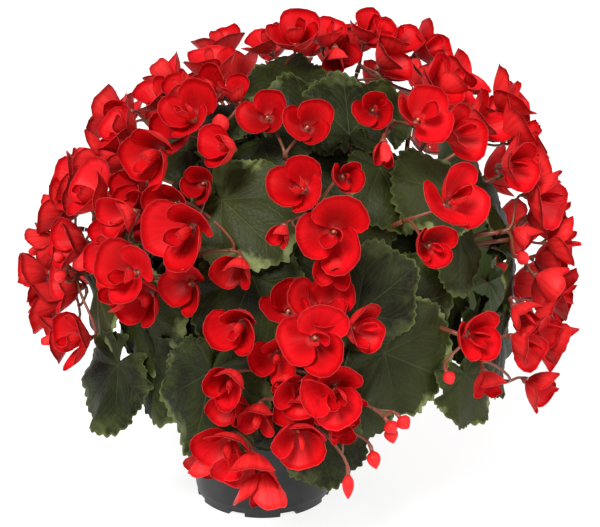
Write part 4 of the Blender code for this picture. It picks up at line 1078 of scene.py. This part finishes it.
# A leaf is a fan round its stalk's end. Its edge is the reach times scalloped teeth and lobes. Its blade is
# quilted: raised between the main veins by a power of the angle to the nearest one. Sines ruffle it towards
# its edge.
def leafBlock(leaf, chance):
    shape = leafShape
    turn, climb, _, length, layer, _ = leaf
    outward = bellFrame(turn, climb, shape["layers"][layer])[1]
    fills = layer == shape["fillLayer"]
    columns = shape["fillAngles"] if fills else shape["angles"]
    rows = shape["fillShares"] if fills else shape["shares"]
    angles = evenAngles(columns) - np.pi
    shares = np.linspace(0.0, 1.0, rows) ** shape["crowding"]
    shares[0] = shape["firstShare"]
    size = length / shape["fullLength"]
    phase = chance.uniform(0, 2 * np.pi, 4)
    always, bySize = shape["teethBySize"]
    teethCount = round(shape["teeth"] * (always + bySize * size))
    fromVein = np.abs((angles * shape["veins"] / (2 * np.pi) + 0.5) % 1.0 - 0.5) * 2
    along = (angles / (2 * np.pi) + 0.5) * teethCount
    heights = chance.uniform(*shape["toothHeights"], teethCount)[along.astype(int) % teethCount]
    fromTip = np.abs(2.0 * (along % 1.0) - shape["toothLean"]).clip(0.0, 1.0)
    scallops = heights * (1.0 - fromTip ** shape["toothPower"]) - shape["toothFoot"]
    edge = 1.0 + shape["tooth"] * scallops + shape["lobes"] * (0.5 - fromVein)
    edge += shape["edgeWave"] * np.sin(shape["edgeWaves"] * angles + phase[1])
    away = shares[:, None]
    share = away * (1.0 + (edge - 1.0) * away ** 5)
    angle = np.broadcast_to(angles, share.shape)
    points = leafPoint(leaf, angle, share * lowLeafShares.get(turn, 1.0))
    quilt = shape["quilt"] * size * (fromVein ** 0.7 - 0.4) * away * (1.3 - away)
    bubbles = shape["bubbles"] * np.sin(away * 24.0 - fromVein * 8.0) * fromVein * away
    ruffle = shape["ruffle"] * size * np.sin(shape["ruffles"] * angles + phase[2]) * away ** 3
    ruffle = ruffle + shape["frill"] * size * np.sin(shape["frills"] * angles + phase[1]) * away ** 5
    curlDown = shape["curlDown"] * size * away ** 4 * (0.6 + 0.6 * np.sin(2 * angles + phase[3]))
    points = points + np.multiply.outer(quilt + bubbles + ruffle + curlDown, outward)
    half = shape["thickness"] / 2 * (1.0 - shape["thinning"] * away[..., None] ** 6)
    middle = np.arange(columns)[None]
    faces = shellFaces(rows, columns, True) + [middle[:, ::-1], middle + rows * columns]
    luck = chance.uniform()
    lie = np.stack(np.broadcast_arrays(angle / (2 * np.pi), away, luck), axis=-1)
    level = np.zeros(share.shape)
    tone = np.stack([np.stack([level + side, level + fromVein, level], axis=-1) for side in (1.0, 0.0)])
    return block(thicken(points, outward, half, True), faces, mainSlot, np.stack([lie, lie]), tone)


# A stem's stalks and branches start at even steps up it, in the order of their ends' heights
def makeLeafyStem(index, ownLeaves, ownForks):
    shape = stemShape
    chance = np.random.default_rng(shape["seed"] + index)
    heights = np.linspace(shape["foot"], shape["top"], shape["rings"])
    radii = np.interp(heights, [shape["foot"], shape["top"]], shape["radius"])
    radii = radii * (1 + shape["knobs"] * np.sin(heights * shape["knobsPerMetre"]))
    blocks = [tubeBlock(stemPlace(index, heights), radii, shape["stemSides"], shape["stemPink"], chance)]
    stalks = []
    for leaf in ownLeaves:
        _, outward, upward, right = bellFrame(leaf[0], leaf[1], leafShape["layers"][leaf[4]])
        end = leafPoint(leaf, np.zeros(1), np.zeros(1))[0] - shape["underLeaf"] * outward
        stalks.append((end, outward + clockDirection(leaf[2], upward, right), leaf))
    stalks += [(place, away, None) for place, away in ownForks]
    stalks.sort(key=lambda stalk: stalk[0][2])
    starts = np.linspace(*shape["stalks"], len(stalks))
    rings = shape["stalkRings"]
    for height, (end, arrive, leaf) in zip(starts, stalks):
        if leaf:
            path = stalkPath(index, height, end, arrive, rings)
            radii = shape["stalkRadius"] * np.linspace(*shape["stalkTaper"], rings)
            blocks.append(tubeBlock(path, radii, shape["sides"], shape["stalkPink"], chance))
            blocks.append(leafBlock(leaf, chance))
        else:
            path = stalkPath(index, height, end - shape["straight"] * arrive, arrive, rings - 1)
            path = np.vstack([path, end])
            radii = shape["branchRadius"] * np.linspace(*shape["branchTaper"], rings)
            blocks.append(tubeBlock(path, radii, shape["sides"], shape["branchPink"], chance))
    name = "leafyStemLook%d" % (index + 1)
    return makePiece(name, blocks, [leafGreen, stalkRed], "leafy_stem_%d" % (index + 1))


for index in range(stemShape["stems"]):
    ownLeaves = [leaf for leaf in allLeaves if stemNear(bellFrame(leaf[0], leaf[1], 0.0)[0]) == index]
    ownForks = [fork for fork in forks if stemNear(fork[0]) == index]
    makeLeafyStem(index, ownLeaves, ownForks)
print("leafy stems made:", stemShape["stems"])

petalShape = {
    "rows": 6,
    "columns": 12,
    "spacing": 1.10,
    "fan": 1.34,
    "narrowing": 1.10,
    "roundness": 0.30,
    "thickness": 0.0005,
    "wrap": 0.98,
    "cup": 0.10,
    "ruffle": 0.016,
    "reflex": 0.05,
    "twist": 11.0,
    "shadeDepth": -0.014,
    "firstShare": 0.06,
    "crowding": 0.85,
    "thinning": 0.7,
    "lengths": (1.24, 1.16),
    "lengthShares": (0.92, 1.06),
    "leans": (-16, 2),
    "innerLean": 14,
    "curls": (8, 38),
    "wraps": (1.0, 0.80),
    "wrapShares": (0.88, 1.12),
    "twistShift": 6,
    "edgeWave": 0.02,
    "edgeWaves": 5,
    "dent": 0.07,
    "dentWidth": 0.40,
    "ruffles": 4.5,
    "frill": 0.010,
    "frills": 9,
    "reflexFrom": 0.72,
    "reflexOver": 0.28,
}


# A petal is a sector of a bowl, swept by the arc of its midline turned round the bloom's axis. Its edge lies
# at the length times the cosine of the fan's angle to a low power; it is turned a little about its midline,
# so that it overlaps the next one, and its rim rolls back and ruffles. Of its shape's pairs, lengths and
# wraps are for outer and inner petals, and the others are ranges that are drawn from.
def petalBlock(bloom, layer, angle, chance):
    shape = petalShape
    axis, upward, right = bloom["axes"]
    outward = np.cos(angle) * upward + np.sin(angle) * right
    side = np.cross(axis, outward)
    length, _, lean, curl = petalSize(bloom, layer > 0)
    foot = bloom["heart"] + bloomShape["heartRing"] / 2 * axis
    foot = foot + layer * (bloomShape["heartRing"] + bloomShape["heartStep"]) * axis
    length *= shape["lengths"][layer] * chance.uniform(*shape["lengthShares"])
    lean += np.radians(chance.uniform(*shape["leans"]) - shape["innerLean"] * layer)
    curl += np.radians(chance.uniform(*shape["curls"]))
    wrap = shape["wrap"] * shape["wraps"][layer] * chance.uniform(*shape["wrapShares"])
    twist = np.tan(np.radians(shape["twist"] + drawShift(chance, shape["twistShift"])))
    phase = chance.uniform(0, 2 * np.pi, 3)
    share = np.linspace(0.0, 1.0, shape["rows"])[:, None] ** shape["crowding"]
    share[0] = shape["firstShare"]
    spacing = np.linspace(-shape["spacing"], shape["spacing"], shape["columns"])[None]
    fan = shape["fan"] * np.sin(spacing) / np.sin(shape["spacing"])
    waves = shape["edgeWave"] * np.sin(shape["edgeWaves"] * fan + phase[0])
    dent = shape["dent"] * np.exp(-(fan / shape["dentWidth"]) ** 2)
    reach = np.cos(fan * shape["narrowing"]) ** shape["roundness"]
    reach = reach * (1 + waves - dent)
    out, forward, now = petalCurve(share * reach, lean, curl)
    out = out + 0.5 * bloomShape["heart"] / length
    sweep = fan * wrap
    lift = shape["cup"] * (fan / shape["fan"]) ** 2 * share + twist * np.sin(sweep) * out
    lift = lift + shape["ruffle"] * np.sin(shape["ruffles"] * fan + phase[1]) * share ** 3
    lift = lift + shape["frill"] * np.sin(shape["frills"] * fan + phase[2]) * share ** 4
    lift = lift - shape["reflex"] * np.clip((share - shape["reflexFrom"]) / shape["reflexOver"], 0, 1) ** 2
    ray = np.multiply.outer(np.cos(sweep), outward) + np.multiply.outer(np.sin(sweep), side)
    look = -np.cos(now)[..., None] * ray + np.multiply.outer(np.sin(now), axis)
    arc = out[..., None] * ray + np.multiply.outer(forward, axis)
    points = foot + length * (arc + lift[..., None] * look)
    edge = np.maximum(share, np.abs(fan) / shape["fan"] * 0.98) ** 8
    half = shape["thickness"] / 2 * (1 - shape["thinning"] * edge[..., None])
    lie = np.stack(np.broadcast_arrays(fan / shape["fan"], share, 0.0), axis=-1)
    luck = chance.uniform()
    # Painted shade: how far the point lies inside the plant, which darkens its petal there
    inside = np.clip(depthOf(points) / shape["shadeDepth"], 0.0, 1.0)
    tone = np.stack([np.stack(np.broadcast_arrays(facing, luck, inside), axis=-1) for facing in (1.0, 0.0)])
    faces = shellFaces(shape["rows"], shape["columns"], False)
    return block(thicken(points, look, half, False), faces, mainSlot, np.stack([lie, lie]), tone)


heartShape = {
    "radius": 0.0009,
    "forward": 0.0034,
    "tallness": 1.2,
    "bumps": 0.18,
    "from": 0.12,
    "to": 1.9,
    "rings": 7,
    "sides": 12,
}


# A bumpy dome: radius times the sine and the cosine of the angle from the top
def heartBlock(bloom, chance):
    shape = heartShape
    axis, upward, right = bloom["axes"]
    down = np.linspace(shape["from"], shape["to"], shape["rings"])[:, None]
    around = evenAngles(shape["sides"])[None]
    radius = shape["radius"] * (1 + shape["bumps"] * np.sin(5 * around + down * 3 + chance.uniform(0, 6)))
    points = bloom["heart"] + shape["forward"] * axis
    points = points + np.multiply.outer(radius * np.sin(down) * np.cos(around), upward)
    points = points + np.multiply.outer(radius * np.sin(down) * np.sin(around), right)
    points = points + np.multiply.outer(radius * shape["tallness"] * np.cos(down), axis)
    faces = closedFaces(shape["rings"], shape["sides"], True)
    return block(points, faces, heartSlot, tone=(0.0, chance.uniform(), 0.0))


budShape = {
    "length": 0.74,
    "thickness": 1.20,
    "flatness": 0.86,
    "crease": 0.10,
    "power": 0.75,
    "rings": 12,
    "sides": 14,
}


# A bud is a drop: its radius is the thickness times the sine of the share to a power, slightly flat on two
# sides
def budBlock(bud, chance):
    shape = budShape
    axis, upward, right = bud["axes"]
    share = np.linspace(0.0, 1.0, shape["rings"])[:, None]
    around = evenAngles(shape["sides"])[None]
    length, thickness = shape["length"] * bud["width"], shape["thickness"] * bud["width"] * bud["open"]
    radius = thickness / 2 * np.sin(np.pi * np.clip(share, 0.02, 0.99) ** shape["power"]) ** shape["power"]
    crease = 1 - shape["crease"] * np.abs(np.cos(around)) ** 12
    points = bud["heart"] + np.multiply.outer(radius * np.cos(around) * crease, upward)
    points = points + np.multiply.outer(radius * shape["flatness"] * np.sin(around) * crease, right)
    points = points + np.multiply.outer(length * share * np.ones_like(around), axis)
    lie = np.stack(np.broadcast_arrays(around / np.pi - 1, 0.3 + 0.5 * share, 0.0), axis=-1)
    tone = np.stack(np.broadcast_arrays(0.35 - 0.2 * share, chance.uniform(), 0.0), axis=-1)
    return block(points, closedFaces(shape["rings"], shape["sides"], True), mainSlot, lie, tone)


# A bloom's stalk swells at some of its rings, by these shares of its radius. It ends in a neck of two rings,
# so far past its foot and past the bloom's heart.
sprayShape = {
    "seed": 500,
    "rings": 10,
    "sides": 9,
    "swellRings": (0, 2, 8, 9),
    "swell": (1.5, 1.0, 1.0, 1.5),
    "neck": (0.0012, 0.0004),
    "bloomNeck": (0.0022, 0.0027),
    "budNeck": (0.0012, 0.0014),
    "forkEnds": (0.85, 0.75),
    "pink": (0.40, 1.0),
    "petalShift": 9,
}


# A spray's first stalk stands on the fork, the others start inside it, and the filling ones start halfway
# along the stalk before
def makeSpray(number, spray, fork):
    shape = sprayShape
    chance = np.random.default_rng(shape["seed"] + number)
    place, away = fork
    start = place + bloomShape["gap"] * away
    inside = start + bloomShape["forkRoot"] * bloomShape["forkLength"] * away
    top = start + bloomShape["forkLength"] * away
    third = 2 * np.pi / 3
    blocks = []
    for index, bloom in enumerate(spray):
        root, leave = (top if index == 0 else inside), away
        if bloom["fills"]:
            root = path[len(path) // 2]
            leave = unit(path[len(path) // 2 + 1] - root)
        axis = bloom["axes"][0]
        foot = bloom["heart"] - bloomShape["heartFoot"] * axis
        gap = np.linalg.norm(foot - root)
        leave, arrive = stemShape["leave"] * gap * leave, stemShape["arrive"] * gap * axis
        path = bezier(root, leave, arrive, foot, shape["rings"])
        swell = np.interp(np.arange(shape["rings"]), shape["swellRings"], shape["swell"])
        radii = bloomShape["pedicel"] * swell
        path = np.vstack([path, foot + shape["neck"][0] * axis, bloom["heart"] + shape["neck"][1] * axis])
        radii = np.append(radii, shape["bloomNeck"] if bloom["outer"] else shape["budNeck"])
        if index == 0:
            path = np.vstack([start, path])
            radii = np.append(bloomShape["fork"] * shape["forkEnds"][0], radii)
            radii[1] = bloomShape["fork"] * shape["forkEnds"][1]
        blocks.append(tubeBlock(path, radii, shape["sides"], shape["pink"], chance))
        if not bloom["outer"]:
            blocks.append(budBlock(bloom, chance))
            continue
        for layer, count, shift in ((0, bloom["outer"], 0.0), (1, bloom["inner"], 0.5)):
            for petal in range(count):
                angle = bloom["spin"] + third * (petal + shift)
                angle = angle + np.radians(drawShift(chance, shape["petalShift"]))
                blocks.append(petalBlock(bloom, layer, angle, chance))
        blocks.append(heartBlock(bloom, chance))
    name = "sprayLook%02d" % (number + 1)
    return makePiece(name, blocks, [petalRed, stalkRed, heartPale], "spray_%02d" % (number + 1))


for number, (spray, fork) in enumerate(zip(sprays, forks)):
    makeSpray(number, spray, fork)
print("sprays made:", len(sprays))

potShape = {
    "height": 0.105,
    "base": 0.046,
    "top": 0.060,
    "wall": 0.0016,
    "rimHeight": 0.009,
    "rimProud": 0.0022,
    "ring": 0.008,
    "floor": 0.0046,
    "groove": 0.0030,
    "disc": 0.0205,
    "notches": 8,
    "notchWidth": 0.012,
    "floorRing": 0.0295,
    "corner": 0.0006,
    "columns": 192,
}
potLook = {
    "black": (0.012, 0.012, 0.013),
    "worn": (0.030, 0.029, 0.029),
    "roughness": 0.38,
    "roughnesses": (0.34, 0.50),
    "shine": 0.35,
    "dust": 45.0,
    "grains": 1600.0,
    "relief": (0.15, 0.0002),
}


# The pot's inner radius at a height: the base's, plus an even widening, less the wall
def innerRadius(height):
    widening = (potShape["top"] - potShape["base"]) * height / potShape["height"]
    return potShape["base"] + widening - potShape["wall"]


def wallRadius(height):
    return innerRadius(height) + potShape["wall"]


def potMaterial():
    look = potLook
    material, tree, shader = newMaterial("blackPlastic", look["black"], look)
    places = objectPlaces(tree)
    dust = noise(tree, places, look["dust"], 5.0)
    grain = noise(tree, places, look["grains"], 2.0)
    colour = blendColours(tree, spread(tree, dust, 0.5, 0.8), look["black"], look["worn"])
    tree.links.new(spread(tree, dust, 0.3, 0.8, *look["roughnesses"]), shader.inputs["Roughness"])
    paint(tree, shader, colour, grain, look)
    return material


# The pot is a profile of radius and height turned round the axis. In the notches the foot's lowest points
# rise.
def makePot():
    shape = potShape
    floor, groove, disc, corner = shape["floor"], shape["groove"], shape["disc"], shape["corner"]
    top, proud = shape["height"], shape["top"] + shape["rimProud"]
    rimLow = shape["height"] - shape["rimHeight"]
    foot = shape["base"] - shape["ring"]
    inside = [
        (0.0003, floor), (shape["floorRing"], floor), (innerRadius(floor) - 0.001, floor),
        (innerRadius(floor), floor + 0.001), (innerRadius(0.05), 0.05),
        (innerRadius(top) - 0.0002, top - corner),
    ]
    rim = [
        (innerRadius(top) + 0.0004, top), (proud - corner, top), (proud, top - corner),
        (proud, rimLow + 0.0016), (proud - corner, rimLow + 0.0010), (wallRadius(rimLow) + 0.0003, rimLow),
        (wallRadius(rimLow), rimLow - corner),
    ]
    wall = [(wallRadius(height), height) for height in (0.07, 0.035, 0.0075, 0.0066)]
    under = [
        (wallRadius(0.0062) - 0.0005, 0.0060), (wallRadius(0.0005), 0.0005), (shape["base"] - corner, 0.0),
        (foot + 0.0005, 0.0), (foot, 0.0005), (foot - 0.001, groove), (disc + 0.001, groove), (disc, 0.0004),
        (disc - 0.0004, 0.0), (0.0003, 0.0),
    ]
    profile = np.array(inside + rim + wall + under)
    halfNotch = shape["notchWidth"] / 2 / shape["base"]
    even = evenAngles(shape["columns"])
    middles = 2 * np.pi * (np.arange(shape["notches"]) + 0.5) / shape["notches"]
    steps = (-0.0025, 0.0025)
    edges = np.concatenate([middles + side * (halfNotch + step) for side in (-1, 1) for step in steps])
    angles = np.sort(np.unique(np.round(np.concatenate([even, edges % (2 * np.pi)]), 6)))
    fromMiddle = np.abs((angles[None] - middles[:, None] + np.pi) % (2 * np.pi) - np.pi).min(axis=0)
    inNotch = fromMiddle < halfNotch
    radius = np.broadcast_to(profile[:, 0, None], (len(profile), len(angles)))
    height = np.broadcast_to(profile[:, 1, None], radius.shape).copy()
    footRows = (profile[:, 0] > foot - 0.002) & (profile[:, 1] < groove)
    height[footRows[:, None] & inNotch[None]] = groove
    points = np.stack([radius * np.cos(angles), radius * np.sin(angles), height], axis=-1)
    moulding = block(points, closedFaces(len(profile), len(angles)), mainSlot)
    return makePiece("potLook", [moulding], [potMaterial()], "pot")


soilShape = {
    "top": 0.095,
    "bottom": 0.0049,
    "middle": 0.05,
    "gap": 0.0008,
    "gapBelow": 0.0006,
    "dome": 0.002,
    "rings": 34,
    "columns": 96,
}
soilLook = {
    "dark": (0.012, 0.008, 0.006),
    "brown": (0.045, 0.026, 0.015),
    "fleck": (0.30, 0.27, 0.22),
    "roughness": 0.95,
    "shine": 0.2,
    "crumbs": 260.0,
    "flecks": 420.0,
    "relief": (1.0, 0.002),
}


def soilMaterial():
    look = soilLook
    material, tree, shader = newMaterial("peat", look["dark"], look)
    places = objectPlaces(tree)
    crumbs = noise(tree, places, look["crumbs"], 6.0)
    flecks = spread(tree, noise(tree, places, look["flecks"], 1.0), 0.74, 0.77)
    colour = blendColours(tree, spread(tree, crumbs, 0.35, 0.65), look["dark"], look["brown"])
    paint(tree, shader, blendColours(tree, flecks, colour, look["fleck"]), crumbs, look)
    return material


# The peat's top is a low dome with three sizes of sine bumps; below it the plug follows the pot's wall
def makeSoil():
    shape = soilShape
    top, middle, bottom = shape["top"], shape["middle"], shape["bottom"]
    rings, columns = shape["rings"], shape["columns"]
    shares = np.linspace(0.005, 1.0, rings)
    surface = shares * (innerRadius(top) - shape["gap"])
    plug = [innerRadius(middle) - shape["gap"], innerRadius(bottom) - shape["gapBelow"], 0.0003]
    height = np.concatenate([top + shape["dome"] * (1 - shares ** 2), [middle, bottom, bottom]])
    radius, around = np.meshgrid(np.concatenate([surface, plug]), evenAngles(columns), indexing="ij")
    height = np.broadcast_to(height[:, None], radius.shape).copy()
    x, y = radius * np.cos(around), radius * np.sin(around)
    bumps = 0.0007 * np.sin(x * 330 + 2 * np.sin(y * 210))
    bumps = bumps + 0.0005 * np.sin(y * 610 + 3 * np.sin(x * 370))
    bumps = bumps + 0.0004 * np.sin(x * 1300) * np.sin(y * 1250)
    height[:rings] += bumps[:rings] * (1 - (radius[:rings] / radius.max()) ** 8)
    faces = closedFaces(len(radius), columns, True)
    peat = block(np.stack([x, y, height], axis=-1), faces, mainSlot)
    return makePiece("soilLook", [peat], [soilMaterial()], "soil")


makePot()
makeSoil()
print("pot and peat made")

studio = {
    "floor": {"grey": (0.35, 0.35, 0.35), "roughness": 0.9, "shine": 0.1, "glow": 0.82, "reach": 30},
    "world": (1.0, 1.0, 1.0),
    "worldStrength": 0.33,
    "target": (0.02, 0.0, 0.2),
    "lights": [
        ("keyLight", "SUN", (-0.6, -1.3, 1.7), 24.0, 3.7),
        ("sideLight", "AREA", (1.8, -0.8, 1.2), 1.0, 22.0),
    ],
    "camera": (0.0251, -0.9894, 0.5052),
    "tilt": 71.0,
    "lens": 94.8,
}


def makeStudio():
    look = studio["floor"]
    reach = look["reach"]
    mesh = bpy.data.meshes.new("floor")
    corners = [(-reach, -reach, 0), (reach, -reach, 0), (reach, reach, 0), (-reach, reach, 0)]
    mesh.from_pydata(corners, [], [(0, 1, 2, 3)])
    material, _, shader = newMaterial("floorPaint", look["grey"], look)
    shader.inputs["Emission Color"].default_value = (1.0, 1.0, 1.0, 1.0)
    shader.inputs["Emission Strength"].default_value = look["glow"]
    mesh.materials.append(material)
    floor = bpy.data.objects.new("floor", mesh)
    bpy.context.scene.collection.objects.link(floor)
    world = bpy.data.worlds.new("studio")
    world.use_nodes = True
    background = world.node_tree.nodes["Background"]
    background.inputs["Color"].default_value = (*studio["world"], 1.0)
    background.inputs["Strength"].default_value = studio["worldStrength"]
    bpy.context.scene.world = world
    for name, kind, place, size, power in studio["lights"]:
        data = bpy.data.lights.new(name, kind)
        data.energy = power
        if kind == "SUN":
            data.angle = np.radians(size)
        else:
            data.size = size
        light = bpy.data.objects.new(name, data)
        ahead = unit(np.array(studio["target"]) - np.array(place))
        across = unit(np.cross(ahead, [0, 0, 1]))
        up = np.cross(across, ahead)
        rows = [[across[row], up[row], -ahead[row], place[row]] for row in range(3)]
        light.matrix_world = Matrix(rows + [[0, 0, 0, 1]])
        bpy.context.scene.collection.objects.link(light)
    cameraData = bpy.data.cameras.new("camera")
    cameraData.lens = studio["lens"]
    camera = bpy.data.objects.new("camera", cameraData)
    camera.location = studio["camera"]
    camera.rotation_euler = (np.radians(studio["tilt"]), 0.0, 0.0)
    bpy.context.scene.collection.objects.link(camera)
    bpy.context.scene.camera = camera
    bpy.context.scene.view_settings.view_transform = "Standard"


makeStudio()
